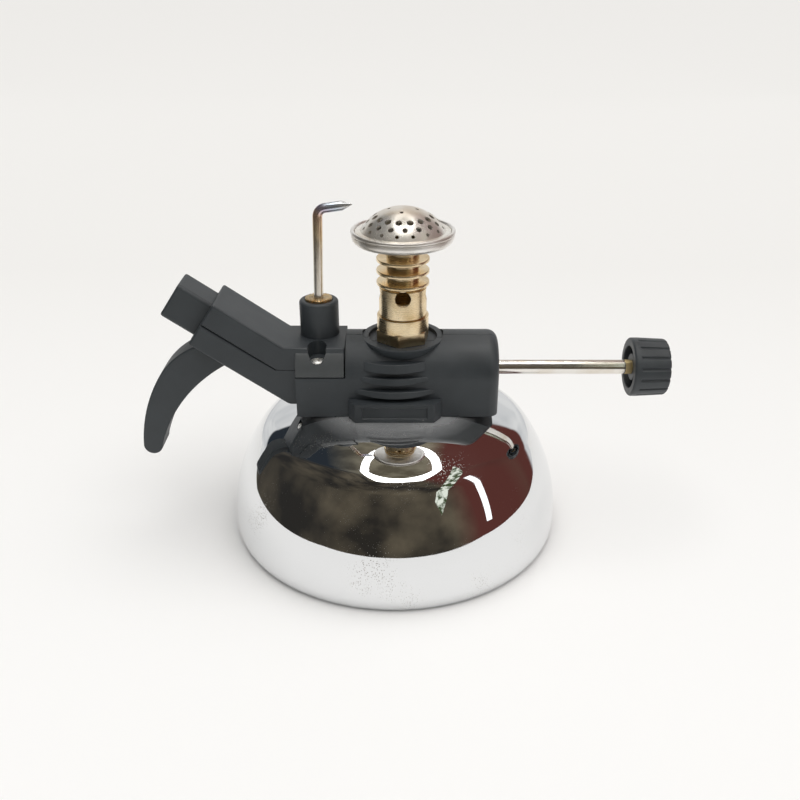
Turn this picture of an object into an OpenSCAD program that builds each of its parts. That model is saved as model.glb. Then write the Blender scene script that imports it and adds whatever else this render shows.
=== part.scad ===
// Small refillable butane burner: dome tank, moulded valve housing, brass burner, piezo handle, valve rod.
// Millimetres, +Z up. The origin is on the tank's axis, at the surface that the tank stands on.
// +X points to the knob, +Y to the rear.

/* [Tank] */
// Widest diameter of the tank
tank_d = 80; // [76:1:90]
// Height of the flat top above the floor
tank_h = 32.2; // [31:0.2:36]
// Thickness of the pressed shell
tank_wall = 0.8; // [0.6:0.1:1.2]
// Diameter of the flat in the middle of the top
flat_d = 25; // [24:0.5:27]
// Radius of the shallow crown round the flat
crown_r = 43; // [41:0.5:46]
// Radius of the shoulder between the crown and the side
shoulder_r = 9; // [8:0.5:10]
// Radius of the bulging side
side_r = 38.2; // [37:0.2:40]
// Height of the widest ring above the floor
widest_z = 3.5; // [3:0.1:4.5]
// Radius of the tuck under the widest ring
lip_r = 6; // [5.5:0.5:8]
// Height of the shell's lower edge above the floor
lip_z = 0.5; // [0.3:0.1:0.8]
// Diameter of the outlet boss in the flat top
neck_d = 10; // [9:0.5:12]
// Length of the outlet boss
neck_l = 4.2; // [3.6:0.2:5]
// Diameter of the threaded hole in the outlet boss
neck_bore_d = 6; // [5:0.2:7]

/* [Base] */
// Thickness of the base plate
base_t = 0.8; // [0.6:0.1:1.2]
// Thickness of the foot ring
foot_t = 1.0; // [0.8:0.1:1.4]
// Width of the foot ring
foot_w = 6; // [4:0.5:10]
// Diameter of the recess round the refill valve
recess_d = 28; // [24:1:34]
// Depth of that recess
recess_h = 5; // [4:0.5:6]

/* [Refill valve] */
// Diameter of the valve body
refill_d = 9; // [8:0.5:11]
// Height of the valve body inside the tank
refill_l = 8.2; // [7.6:0.2:9]
// Diameter of the stem
refill_stem_d = 2.4; // [2:0.1:3]
// Length of stem that stands out below the body
refill_stem_out = 3.2; // [2:0.1:3.6]
// Travel of the stem when the gas can pushes it in
refill_travel = 1.2; // [0.8:0.1:1.4]

/* [Wick] */
// Diameter of the wick tube
wick_tube_d = 3.9; // [3.5:0.1:4.4]
// Distance from the wick's end to the refill valve below it
wick_gap = 1; // [0.8:0.1:2]
// Wall of the wick tube
wick_tube_wall = 0.45; // [0.3:0.05:0.6]

/* [Housing] */
// Width of the housing, front to rear
house_w = 17.9; // [17.4:0.1:20]
// Reach of the housing to the left of the tank's axis
house_left = 22.65; // [22:0.1:25]
// Reach of the housing to the right of the tank's axis
house_right = 24.05; // [23:0.1:27]
// Wall of the housing
house_wall = 1.8; // [1.4:0.1:2]
// Height of the valve rod's axis, and of the arched roof's axis, above the tank's flat top
rod_rise = 8.7; // [8.6:0.1:10]
// Radius of the rounded edge at the right end
end_round = 1.8; // [1:0.1:2.4]
// Distance of the joint between the two halves in front of the rod's axis
seam_y = 1.5; // [0:0.1:2]
// Gap that shows at the joints between the mouldings
seam_gap = 0.16; // [0.1:0.02:0.3]
// Height of the burner well's floor above the rod's axis
well_rise = 6.5; // [6:0.1:7]
// Depth of the well
well_depth = 0.95; // [0.6:0.05:1.4]
// Inner diameter of the well
well_d = 16; // [14.5:0.1:17]
// Width of the ring round the well
well_ring = 1.4; // [1:0.1:2]
// Thickness of the well's floor
well_floor_t = 2.2; // [1.6:0.1:2.4]
// Width of the front pad at its root
pad_w = 21.4; // [18:0.2:24]
// Height of the pad
pad_h = 4.6; // [3.6:0.1:5]
// How far the pad stands out of the wall
pad_out = 3.05; // [2:0.05:4]
// Height of the lowest rib's underside above the tank's flat top
rib_base = 5.6; // [5.2:0.1:6]
// Distance from rib to rib
rib_pitch = 3.1; // [2.6:0.1:3.4]
// Thickness of a rib
rib_t = 1.5; // [1:0.1:1.9]

/* [Handle] */
// Slope of the handle
handle_angle = 34.5; // [30:0.5:40]
// Length of the sloped top, from its end to the bend
handle_l = 18.3; // [17:0.1:22]
// Height of the handle, square to its slope
handle_h = 11.5; // [11:0.1:13]
// Width of the handle
handle_w = 14.3; // [13.6:0.1:15.4]
// Wall of the handle shells
handle_wall = 1; // [0.8:0.1:1.2]
// Distance of the bend to the left of the tank's axis
bend_x = 25.1; // [24.8:0.1:27]
// Height of the block's flat top above the rod's axis
block_rise = 7.77; // [7.4:0.05:8.2]
// Height of the side panels' lower edge above the rod's axis
skirt_rise = 1.2; // [0.6:0.1:2]
// Distance of the block's right end to the left of the tank's axis
block_end = 11.2; // [10.4:0.1:12]
// Height by which the side panels stand proud of the housing's roof
panel_lift = 1.24; // [0.8:0.02:1.6]
// Height of the step from the flat top down to the side panels
panel_step = 1.1; // [0.8:0.1:1.6]

/* [Finger hook] */
// Radius of the hook's outer curve
hook_outer_r = 39.7; // [37:0.1:43]
// Radius of the hook's inner curve
hook_inner_r = 36.8; // [34:0.1:40]
// Thickness of the hook at its tip
hook_tip_t = 4.6; // [3.6:0.1:5]
// Height of the hook's tip above the floor
hook_tip_z = 19.2; // [17:0.2:22]
// Width of the hook
hook_w = 7.6; // [6:0.2:9]

/* [Igniter] */
// Height of the button, square to the handle's slope
button_h = 8.9; // [8:0.1:9]
// Width of the button
button_w = 8.8; // [7.8:0.1:9.2]
// How far the button stands out of the handle
button_out = 8.6; // [7:0.1:9.4]
// Travel of the button
button_travel = 4.5; // [3.5:0.1:4.8]
// Length of the piezo igniter's body
piezo_l = 9; // [8:0.2:10]
// Diameter of the plunger
plunger_d = 3.6; // [3:0.1:4]

/* [Electrode] */
// Distance of the electrode to the left of the tank's axis
electrode_x = 17.6; // [17:0.1:18]
// Distance of the electrode behind the rod's axis
electrode_y = 2.6; // [2:0.1:2.8]
// Diameter of the spark rod
electrode_d = 1.9; // [1.6:0.1:2.2]
// Height of the rod's bend above the block
electrode_h = 29.2; // [27:0.1:31]
// Length of the bent arm, with its point
electrode_arm = 8.2; // [7:0.1:9]
// Upward tilt of the bent arm
electrode_tilt = 8; // [0:1:15]
// Diameter of the collar
collar_d = 9.1; // [8.4:0.1:9.4]
// Height of the collar
collar_h = 8.3; // [7:0.1:9]
// Diameter of the brass ferrule
ferrule_d = 6.3; // [5.6:0.1:7]

/* [Burner] */
// Distance of the burner to the right of the tank's axis
burner_x = 1.9; // [1.6:0.1:2.2]
// Width across the flats of the hexagon
hex_af = 11.2; // [10.4:0.2:12]
// Height of the hexagon
hex_h = 3.8; // [3:0.1:4.6]
// Diameter of the burner's collar
burner_collar_d = 11.9; // [11.4:0.1:12.6]
// Height of the burner's collar
burner_collar_h = 3.2; // [2.6:0.1:4]
// Diameter of the mixing tube
tube_d = 10.9; // [10:0.1:11.2]
// Height of the plain part of the mixing tube
tube_h = 6.8; // [6.2:0.1:9]
// Diameter of the air holes
air_hole_d = 3.4; // [2.8:0.1:3.8]
// Diameter of the neck between the fins
neck_tube_d = 7.4; // [7:0.1:8]
// Bore of the mixing tube
tube_bore_d = 6; // [5:0.1:6.4]
// Diameter of the fins
fin_d = 12; // [11:0.1:13]
// Thickness of a fin
fin_t = 0.8; // [0.6:0.05:1.2]
// Distance from fin to fin
fin_pitch = 2.7; // [2.4:0.1:3]
// Diameter of the steel pan
pan_d = 23.2; // [22:0.2:26]
// Height of the pan
pan_h = 2.5; // [2:0.1:3]
// Thickness of the pan's and the cap's sheet
sheet_t = 0.5; // [0.4:0.05:0.7]
// Diameter of the dome of the cap
cap_d = 19; // [17:0.2:19.6]
// Height of the dome of the cap
cap_h = 5.1; // [4:0.1:6]

/* [Valve] */
// Diameter of the valve body
valve_d = 14; // [13.4:0.1:14.4]
// Diameter of the valve body's side arm
arm_d = 8.2; // [7.6:0.1:8.4]
// Reach of the side arm to the right of the tank's axis
arm_reach = 14.5; // [13.8:0.1:16]
// Diameter of the needle's thread
needle_d = 3.9; // [3.6:0.1:4.2]
// Pitch of the needle's thread
needle_pitch = 0.7; // [0.5:0.05:0.8]
// Turns of the knob from shut to open
valve_turns = 1.25; // [1:0.25:1.25]

/* [Rod and knob] */
// Diameter of the rod
rod_d = 3.4; // [3:0.1:4]
// Distance of the knob's face to the right of the tank's axis
knob_x = 55.4; // [46:0.2:66]
// Length of the knob
knob_l = 8.5; // [8:0.1:11]
// Diameter of the knob at its face
knob_d = 13.9; // [13:0.1:16]
// Diameter of the recess in the knob's face
knob_recess_d = 10; // [9:0.1:11]
// Depth of that recess
knob_recess_h = 3.5; // [2.6:0.1:4]
// Number of flutes
flutes = 16; // [12:1:20]

/* [Clearances] */
// Radial clearance of a turning or sliding pin
run_gap = 0.05; // [0.02:0.01:0.09]
// Radial clearance of a fixed piece in its seat
fit_gap = 0.03; // [0.02:0.01:0.06]
// Clearance of the button in the handle
slide_gap = 0.3; // [0.2:0.05:0.4]

/* [Hidden] */
$fn = 72;
eps = 0.01;

// Tank and base
tank_r = tank_d / 2;
flat_r = flat_d / 2;
crown_centre = [flat_r, tank_h - crown_r];
side_centre = [tank_r - side_r, widest_z];
crown_in = crown_r - shoulder_r;
side_in = side_r - shoulder_r;
centre_step = side_centre - crown_centre;
centre_gap = norm(centre_step);
centre_along = (pow(crown_in, 2) - pow(side_in, 2) + pow(centre_gap, 2)) / (2 * centre_gap);
centre_off = sqrt(pow(crown_in, 2) - pow(centre_along, 2));
centre_across = [centre_step[1], -centre_step[0]];
shoulder_centre = crown_centre + (centre_along * centre_step + centre_off * centre_across) / centre_gap;
crown_way = (shoulder_centre - crown_centre) / crown_in;
side_way = (shoulder_centre - side_centre) / side_in;
lip_inner_r = tank_r - lip_r + sqrt(pow(lip_r - tank_wall, 2) - pow(widest_z - lip_z, 2));
base_r = lip_inner_r - fit_gap;
foot_r = base_r - 0.6;
recess_z = foot_t + recess_h;
neck_flange_w = 2;
neck_flange_t = 1;

// Refill valve
refill_flange_t = 1.2;
refill_flange_w = 1.5;
refill_seat_z = recess_z + base_t + 0.8;
refill_seal_t = 1.2;
refill_chamber_r = refill_d / 2 - 1.3;
refill_top_z = recess_z + base_t + refill_l;
refill_roof = 1;
refill_head_z = refill_seat_z + refill_seal_t + run_gap;
refill_head_t = 1.2;
refill_wire = 0.5;

// Housing
axis_z = tank_h + rod_rise;
house_r = house_w / 2;
well_z = axis_z + well_rise;
ring_top = well_z + well_depth;
ring_r = well_d / 2 + well_ring;
rib_end_out = 0.1;
house_floor = 1.5;
rod_hole_gap = 0.5;
boss_d = 3.8;
screw_d = 1.8;
screw_head_d = 3.6;
screw_head_h = 1.3;
screw_sink = 2;
sink_boss_d = screw_head_d + 2;
boss_rise = 3.7;
right_boss_in = 3.85;
mid_boss_in = 1.6;
left_boss_in = 3.05;
low_boss_z = tank_h + boss_rise;
housing_screw_x = [house_right - right_boss_in, mid_boss_in - block_end, left_boss_in - house_left];

// Handle
slope = [cos(handle_angle), -sin(handle_angle)];
upright = [sin(handle_angle), cos(handle_angle)];
block_z = axis_z + block_rise;
skirt_z = axis_z + skirt_rise;
handle_end = [-bend_x, block_z] - handle_l * slope - handle_h / 2 * upright;
seam_lift = 0.05;
shell_seam_z = skirt_z + 1.2;
lower_z = tank_h + 2.2;
cavity_h = handle_h / 2 - handle_wall;
cavity_w = handle_w - 2 * handle_wall;
button_half = min(button_h / 2, cavity_h - slide_gap);
panel_z = axis_z + panel_lift;
block_screw_y = -6.3;
block_shank_l = 7;
block_screw_seat = skirt_z + 1.9;
counterbore_d = 4.6;
handle_screw_x = -house_left - 2;
handle_screw_y = -3.6;

// Igniter, with distances from the handle's end along its slope
flange_in = handle_wall + 0.2;
flange_t = 1.5;
button_in = flange_in + flange_t;
piezo_x = button_in + button_travel + 1;
piezo_w = 8;
plunger_in = piezo_x + 3;
piezo_bore_x = plunger_in + button_travel + 0.5;
spring_wire = 0.6;
lead_d = 1.6;
wire_bend_x = handle_screw_x + 0.6;
earth_d = 0.9;
wire_gap = 0.4;
earth_y = -0.6;
earth_lift = -1;
lead_level = skirt_z + 1.3;
earth_level = skirt_z + 0.8;

// Electrode
ferrule_sink = 1;
ferrule_proud = 0.5;
collar_stub_d = 5.6;
collar_stub_l = 4.2;
point_l = 2.4;
electrode_lean = 1.5;
bend_r = 2;

// Burner
hex_z = well_z;
burner_collar_z = hex_z + hex_h;
tube_z = burner_collar_z + burner_collar_h;
tube_top = tube_z + tube_h;
air_hole_rise = 5.2;
air_hole_z = tube_z + air_hole_rise;
fin_z = tube_top + 0.5;
fin_n = 3;
pan_gap = 3.4;
pan_z = fin_z + (fin_n - 1) * fin_pitch + fin_t + pan_gap;
rim_z = pan_z + pan_h;
stub_d = 6.8;
stub_h = 3;
spigot_d = tube_d - 2;
spigot_l = 2.6;
jet_d = 3.2;
jet_h = 5.5;
jet_sink = 2.4;
cap_sphere_r = (pow(cap_d / 2, 2) + pow(cap_h, 2)) / (2 * cap_h);
cap_z = rim_z + 0.2;
cap_centre = cap_z + cap_h - cap_sphere_r;
hole_rows = [[4, 2.6, 0.8, 20], [16, 6.2, 1.5, 0], [16, 7.5, 1.2, 11.25], [16, 8.7, 0.8, 0]];

// Valve, rod and knob
seat_x = 0.5;
top_boss_d = 10;
arm_fit_d = min(arm_d, 2 * (well_rise - well_floor_t - 0.15));
orifice_d = 1.2;
chamber_d = 6;
gland_stub = 2;
seal_d = 1.16;
gland_x = arm_reach - gland_stub;
seal_x = gland_x - seal_d - 0.1;
rod_collar_d = 5.2;
rod_collar_l = 1.4;
chamber_x = seal_x - rod_collar_l - 0.2;
needle_open = needle_pitch * valve_turns;
needle_tip_x = seat_x + 0.2;
needle_end = chamber_x - needle_open - 0.3;
tongue_t = 1.1;
tongue_w = 2.6;
tongue_x = needle_end - 0.8;
slot_x = tongue_x - needle_open - 0.3;
gland_af = 10;
gland_h = 3;
rod_grip = 6.2;
rod_end = knob_x + rod_grip;
flat_out = 0.9;
flat_x = knob_x - flat_out;
flat_y = 0.9;
hub_d = 6.4;
hub_sink = 0.6;
knob_round = 0.6;
knob_taper = 0.1;
flute_d = 0.8;
flute_phase = 94;
flute_x = knob_x + 1.6;

// A cylinder along X between two places, on the axis y, z
module x_cyl(d, x0, x1, y = 0, z = axis_z) {
    translate([x0, y, z]) rotate([0, 90, 0]) cylinder(d = d, h = x1 - x0);
}

// A cylinder along Z between two heights
module z_cyl(d, z0, z1, x = 0, y = 0) {
    translate([x, y, z0]) cylinder(d = d, h = z1 - z0);
}

// A cylinder along Y between two places
module y_cyl(d, y0, y1, x = 0, z = 0) {
    translate([x, y1, z]) rotate([90, 0, 0]) cylinder(d = d, h = y1 - y0);
}

// A side view, drawn in X and Z, given a width across Y
module side_view(w) {
    translate([0, w / 2, 0]) rotate([90, 0, 0]) linear_extrude(w) children();
}

// A box between two corners
module block(low, high) {
    translate(low) cube(high - low);
}

// A rectangle with round corners, centred
module soft_rect(w, h, r) {
    square([w - 2 * r, h], center = true);
    square([w, h - 2 * r], center = true);
    for (i = [-1, 1], j = [-1, 1]) translate([i * (w / 2 - r), j * (h / 2 - r)]) circle(r);
}

// Place on the handle: x runs in from its end along the slope, z is square to the slope
module on_handle() {
    translate([handle_end[0], 0, handle_end[1]]) rotate([0, handle_angle, 0]) children();
}

// The same place as a point of the side view
function handle_point(x, z) = handle_end + x * slope + z * upright;

// The point at the given height on the line that runs along the handle at z
function at_height(z, height) = handle_point((handle_end[1] + z * upright[1] - height) / -slope[1], z);

// A helical spring along Z from 0 to length
function coil_points(r, wire, length, turns, sides, steps) = [
    for (i = [0 : turns * steps])
        let (turn = 360 * i / steps, z = wire / 2 + (length - wire) * i / (turns * steps))
            for (j = [0 : sides - 1])
                let (a = 360 * j / sides, reach = r + wire / 2 * cos(a))
                    [reach * cos(turn), reach * sin(turn), z + wire / 2 * sin(a)]
];

// Faces of a tube that is given as rings of points, with both ends closed
function tube_faces(rings, sides) = [
    for (i = [0 : rings - 1], j = [0 : sides - 1])
        let (a = i * sides + j, b = i * sides + (j + 1) % sides)
            each [[a, a + sides, b], [b, a + sides, b + sides]],
    for (j = [1 : sides - 2])
        each [[0, j, j + 1], [rings * sides, rings * sides + j + 1, rings * sides + j]]
];

module coil(r, wire, length, turns) {
    sides = 6;
    steps = 12;
    polyhedron(coil_points(r, wire, length, turns, sides, steps), tube_faces(turns * steps, sides));
}

// Direction square to a step of a wire that runs in X and Z
function square_to(step) = [-step[2], 0, step[0]] / norm(step);

// The same at point i of a wire, lengthened so that the wire keeps its thickness round the bend
function mitre(points, i) =
    let (
        last = len(points) - 1,
        j = max(i, 1),
        k = min(i, last - 1),
        a = square_to(points[j] - points[j - 1]),
        b = square_to(points[k + 1] - points[k])
    ) (a + b) / (1 + a * b);

// A wire through a list of points
module wire(points, d) {
    sides = 8;
    rings = len(points) - 1;
    skin = [
        for (i = [0 : rings], j = [0 : sides - 1])
            let (a = 360 * j / sides)
                points[i] + d / 2 * (cos(a) * mitre(points, i) + [0, sin(a), 0])
    ];
    polyhedron(skin, tube_faces(rings, sides));
}

// A cross-head screw along Z, with its head's top at 0 and its shank below
module screw(shank_l) {
    difference() {
        translate([0, 0, -screw_head_h]) cylinder(d = screw_head_d, h = screw_head_h);
        for (turn = [0, 90])
            rotate(turn) block([-1.1, -0.22, -0.7], [1.1, 0.22, 1]);
    }
    translate([0, 0, -screw_head_h - shank_l]) cylinder(d = screw_d, h = shank_l + eps);
}

// Half of the tank's section, its outline drawn in by the given amount
module tank_section(inset) {
    square([flat_r, tank_h - inset]);
    intersection() {
        translate(crown_centre) circle(crown_r - inset);
        square([flat_r + (crown_r - inset) * crown_way[0], tank_h]);
    }
    translate(shoulder_centre) circle(shoulder_r - inset);
    intersection() {
        translate(side_centre) circle(side_r - inset);
        translate([0, widest_z]) square([tank_d, (side_r - inset) * side_way[1]]);
    }
    intersection() {
        translate([tank_r - lip_r, widest_z]) circle(lip_r - inset);
        translate([0, -lip_r]) square([tank_d, lip_r + widest_z]);
    }
    square([tank_r - lip_r, widest_z]);
}

module tank_shell() {
    color("gainsboro") rotate_extrude() difference() {
        intersection() {
            tank_section(0);
            translate([0, lip_z]) square([tank_d, tank_h]);
        }
        tank_section(tank_wall);
        square([neck_d / 2 + fit_gap, tank_h + 1]);
    }
}

module tank_base() {
    hole = refill_d / 2 + fit_gap;
    rise = recess_d / 2;
    color("silver") rotate_extrude() polygon([
        [hole, recess_z], [rise, recess_z], [rise, foot_t], [base_r, foot_t], [base_r, foot_t + base_t],
        [rise + base_t, foot_t + base_t], [rise + base_t, recess_z + base_t], [hole, recess_z + base_t]
    ]);
}

module foot_ring() {
    color("black") difference() {
        cylinder(r = foot_r, h = foot_t);
        z_cyl(2 * (foot_r - foot_w), -1, foot_t + 1);
    }
}

module tank_neck() {
    flange_top = tank_h - tank_wall;
    color("goldenrod") difference() {
        union() {
            z_cyl(neck_d, tank_h - neck_l, tank_h);
            z_cyl(neck_d + 2 * neck_flange_w, flange_top - neck_flange_t, flange_top);
        }
        z_cyl(neck_bore_d, tank_h - neck_l - 1, tank_h + 1);
    }
}

wick_out = 1;
wick_sink = 2.4;
wick_top = tank_h - neck_l + wick_sink;
wick_end = refill_top_z + wick_gap;
wick_low = wick_end + wick_out;

module wick_tube() {
    color("goldenrod") difference() {
        z_cyl(wick_tube_d, wick_low, wick_top);
        z_cyl(wick_tube_d - 2 * wick_tube_wall, wick_low - 1, wick_top + 1);
    }
}

module gas_wick() {
    color("ivory") z_cyl(wick_tube_d - 2 * wick_tube_wall - 2 * fit_gap, wick_end, wick_top - wick_out);
}

module refill_body() {
    color("goldenrod") difference() {
        union() {
            z_cyl(refill_d, recess_z - refill_flange_t, refill_top_z);
            z_cyl(refill_d + 2 * refill_flange_w, recess_z - refill_flange_t, recess_z);
        }
        z_cyl(refill_stem_d + 2 * run_gap, 0, refill_top_z - 1.5);
        z_cyl(2 * refill_chamber_r, refill_seat_z, refill_top_z - refill_roof);
        z_cyl(1.6, 0, refill_top_z + 1);
    }
}

module refill_seal() {
    color("dimgray") difference() {
        z_cyl(2 * (refill_chamber_r - fit_gap), refill_seat_z, refill_seat_z + refill_seal_t);
        z_cyl(refill_stem_d + 4 * run_gap, 0, refill_top_z);
    }
}

module refill_stem() {
    color("white") {
        z_cyl(refill_stem_d, recess_z - refill_flange_t - refill_stem_out, refill_head_z + eps);
        z_cyl(2 * refill_chamber_r - 1, refill_head_z, refill_head_z + refill_head_t);
    }
}

module refill_spring() {
    spring_z = refill_head_z + refill_head_t;
    color("silver") translate([0, 0, spring_z])
        coil(refill_chamber_r - 0.9, refill_wire, refill_top_z - refill_roof - spring_z, 4);
}

module valve_body() {
    foot_z = tank_h - neck_l + 0.2;
    inlet_x = -1.2;
    color("goldenrod") difference() {
        union() {
            z_cyl(neck_bore_d - 2 * fit_gap, foot_z, tank_h + eps);
            z_cyl(valve_d, tank_h, axis_z + 0.8);
            z_cyl(top_boss_d, axis_z, well_z, burner_x);
            z_cyl(stub_d, well_z - eps, well_z + stub_h, burner_x);
            x_cyl(arm_fit_d, 0, arm_reach);
        }
        z_cyl(wick_tube_d + 2 * fit_gap, foot_z - 1, wick_top);
        z_cyl(1.4, wick_top - eps, axis_z, inlet_x);
        x_cyl(1.8, inlet_x - 0.9, seat_x - 1);
        x_cyl(orifice_d, inlet_x, seat_x + eps);
        x_cyl(needle_d + 2 * run_gap, seat_x, chamber_x);
        x_cyl(chamber_d, chamber_x, arm_reach + 1);
        z_cyl(1.8, axis_z, well_z, burner_x);
        z_cyl(jet_d + 2 * fit_gap, well_z + stub_h - jet_sink, well_z + stub_h + 1, burner_x);
        z_cyl(1.4, axis_z, well_z + stub_h, burner_x);
    }
}

module valve_needle() {
    cone_l = 2;
    color("gold") difference() {
        union() {
            translate([needle_tip_x, 0, axis_z]) rotate([0, 90, 0])
                cylinder(d1 = 0.8, d2 = needle_d - 0.6, h = cone_l);
            x_cyl(needle_d, needle_tip_x + cone_l - eps, needle_end);
        }
        block(
            [slot_x, -tongue_t / 2 - 0.1, axis_z - needle_d],
            [needle_end + 1, tongue_t / 2 + 0.1, axis_z + needle_d]
        );
    }
}

module rod_seal() {
    color("dimgray") translate([seal_x + seal_d / 2, 0, axis_z]) rotate([0, 90, 0])
        rotate_extrude() translate([rod_d / 2 + run_gap + seal_d / 2, 0]) circle(d = seal_d);
}

module gland_nut() {
    color("goldenrod") difference() {
        union() {
            x_cyl(chamber_d - 2 * fit_gap, gland_x, arm_reach + eps);
            translate([arm_reach, 0, axis_z]) rotate([0, 90, 0])
                cylinder(d = gland_af / cos(30), h = gland_h, $fn = 6);
        }
        x_cyl(rod_d + 2 * run_gap, gland_x - 1, arm_reach + gland_h + 1);
    }
}

// The rod's flatted end, grown by a clearance
module rod_flat_end(gap, x0) {
    difference() {
        x_cyl(rod_d + 2 * gap, x0, rod_end);
        block([x0 - 1, -rod_d, axis_z - rod_d], [rod_end + 1, -flat_y - gap, axis_z + rod_d]);
    }
}

module control_rod() {
    color("lightgray") {
        block(
            [tongue_x, -tongue_t / 2, axis_z - tongue_w / 2],
            [chamber_x + 1, tongue_t / 2, axis_z + tongue_w / 2]
        );
        x_cyl(rod_collar_d, chamber_x + run_gap, chamber_x + rod_collar_l);
        x_cyl(rod_d, chamber_x + rod_collar_l - eps, flat_x + eps);
        rod_flat_end(0, flat_x);
    }
}

module control_knob() {
    tip_r = knob_d / 2 - knob_taper;
    color("dimgray") difference() {
        translate([knob_x, 0, axis_z]) rotate([0, 90, 0]) rotate_extrude() {
            square([tip_r - knob_round, knob_l]);
            polygon([
                [0, knob_round], [knob_d / 2, knob_round],
                [tip_r, knob_l - knob_round], [0, knob_l - knob_round]
            ]);
            translate([knob_d / 2 - knob_round, knob_round]) circle(knob_round);
            square([knob_d / 2 - knob_round, knob_round]);
            translate([tip_r - knob_round, knob_l - knob_round]) circle(knob_round);
        }
        difference() {
            x_cyl(knob_recess_d, knob_x - 1, knob_x + knob_recess_h);
            x_cyl(hub_d, knob_x + hub_sink, knob_x + knob_recess_h + 1);
        }
        rod_flat_end(fit_gap, knob_x - 1);
        for (i = [0 : flutes - 1])
            translate([0, 0, axis_z]) rotate([flute_phase + 360 * i / flutes, 0, 0])
                x_cyl(flute_d, flute_x, knob_x + knob_l + 1, 0, knob_d / 2);
    }
}

module gas_jet() {
    jet_z = well_z + stub_h - jet_sink;
    color("gold") difference() {
        union() {
            z_cyl(jet_d, jet_z, jet_z + jet_h - 1, burner_x);
            translate([burner_x, 0, jet_z + jet_h - 1 - eps]) cylinder(d1 = jet_d, d2 = 1.4, h = 1);
        }
        z_cyl(1.2, jet_z - 1, jet_z + jet_h - 0.6, burner_x);
        z_cyl(0.4, jet_z, jet_z + jet_h + 1, burner_x);
    }
}

module burner_base() {
    chamfer = 0.4;
    color("goldenrod") translate([burner_x, 0, 0]) difference() {
        union() {
            translate([0, 0, hex_z]) rotate(21) cylinder(d = hex_af / cos(30), h = hex_h, $fn = 6);
            z_cyl(burner_collar_d, burner_collar_z - eps, tube_z - chamfer);
            translate([0, 0, tube_z - chamfer - eps])
                cylinder(d1 = burner_collar_d, d2 = burner_collar_d - 2 * chamfer, h = chamfer + eps);
        }
        z_cyl(stub_d + 2 * fit_gap, hex_z - 1, burner_collar_z);
        z_cyl(spigot_d + 2 * fit_gap, burner_collar_z - eps, tube_z + 1);
    }
}

module mixing_tube() {
    groove_d = tube_d - 1.4;
    color("gold") translate([burner_x, 0, 0]) difference() {
        union() {
            z_cyl(spigot_d, tube_z - spigot_l, tube_z + eps);
            z_cyl(tube_d, tube_z, tube_top);
            z_cyl(groove_d, tube_top - eps, fin_z + eps);
            z_cyl(neck_tube_d, fin_z, pan_z + sheet_t + 0.6);
            for (i = [0 : fin_n - 1]) z_cyl(fin_d, fin_z + i * fin_pitch, fin_z + i * fin_pitch + fin_t);
        }
        z_cyl(tube_bore_d, tube_z - spigot_l - 1, rim_z);
        for (turn = [0, 90])
            translate([0, 0, air_hole_z]) rotate([0, 0, turn]) y_cyl(air_hole_d, -tube_d, tube_d);
    }
}

// Half of the pan's section, drawn in by the given amount
module pan_section(inset) {
    corner = 1;
    r = pan_d / 2 - inset;
    low = pan_z + inset;
    translate([0, low + corner]) square([r, pan_h]);
    translate([0, low]) square([r - corner, pan_h]);
    translate([r - corner, low + corner]) circle(corner);
}

module burner_pan() {
    bead_r = 0.45;
    color("silver") translate([burner_x, 0, 0]) rotate_extrude() {
        difference() {
            intersection() {
                pan_section(0);
                square([pan_d, rim_z]);
            }
            pan_section(sheet_t);
            square([neck_tube_d / 2 + fit_gap, rim_z]);
        }
        translate([pan_d / 2 - bead_r, rim_z]) circle(bead_r);
    }
}

module burner_cap() {
    flange_r = pan_d / 2 - 1;
    skirt_low = pan_z + sheet_t + 0.25;
    color("silver") translate([burner_x, 0, 0]) difference() {
        rotate_extrude() {
            intersection() {
                difference() {
                    translate([0, cap_centre]) circle(cap_sphere_r);
                    translate([0, cap_centre]) circle(cap_sphere_r - sheet_t);
                }
                translate([0, cap_z]) square([cap_d, cap_h + 1]);
            }
            translate([cap_d / 2 - sheet_t, cap_z - sheet_t])
                square([flange_r - cap_d / 2 + sheet_t, sheet_t]);
            translate([flange_r - sheet_t, skirt_low]) square([sheet_t, cap_z - skirt_low]);
        }
        for (row = hole_rows, i = [0 : row[0] - 1])
            translate([0, 0, cap_centre])
                rotate([0, asin(row[1] / cap_sphere_r), 360 * i / row[0] + row[3]])
                    z_cyl(row[2], cap_sphere_r / 2, cap_sphere_r + 1);
    }
}

// The outside of the arched housing, drawn in by a wall and cut off at a floor
module housing_form(wall, floor_z) {
    r = house_r - wall;
    x0 = -house_left + wall;
    x1 = house_right - wall;
    round_r = max(end_round - wall, 0.3);
    intersection() {
        union() {
            translate([x0, 0, axis_z]) rotate([0, 90, 0]) rotate_extrude() {
                square([r, x1 - x0 - round_r]);
                square([r - round_r, x1 - x0]);
                translate([r - round_r, x1 - x0 - round_r]) circle(round_r);
            }
            translate([0, 0, floor_z]) linear_extrude(axis_z - floor_z) {
                translate([x0, -r]) square([x1 - x0 - round_r, 2 * r]);
                translate([x0, -r + round_r]) square([x1 - x0, 2 * (r - round_r)]);
                for (side = [-1, 1]) translate([x1 - round_r, side * (r - round_r)]) circle(round_r);
            }
        }
        block([-house_left - 1, -house_w, floor_z], [house_right + 1, house_w, axis_z + house_w]);
    }
}

// A rib with a bowed front edge, its underside at z
module rib(half_w, out, z) {
    bow = out - rib_end_out;
    bow_r = (pow(half_w, 2) + pow(bow, 2)) / (2 * bow);
    wall_y = z > axis_z ? sqrt(pow(house_r, 2) - pow(z + rib_t / 2 - axis_z, 2)) : house_r;
    for (side = [0, 180]) rotate(side) intersection() {
        translate([0, bow_r - wall_y - out, z]) cylinder(r = bow_r, h = rib_t);
        block([-half_w, -house_w, z - 1], [half_w, -wall_y + house_wall, z + rib_t + 1]);
    }
}

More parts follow.
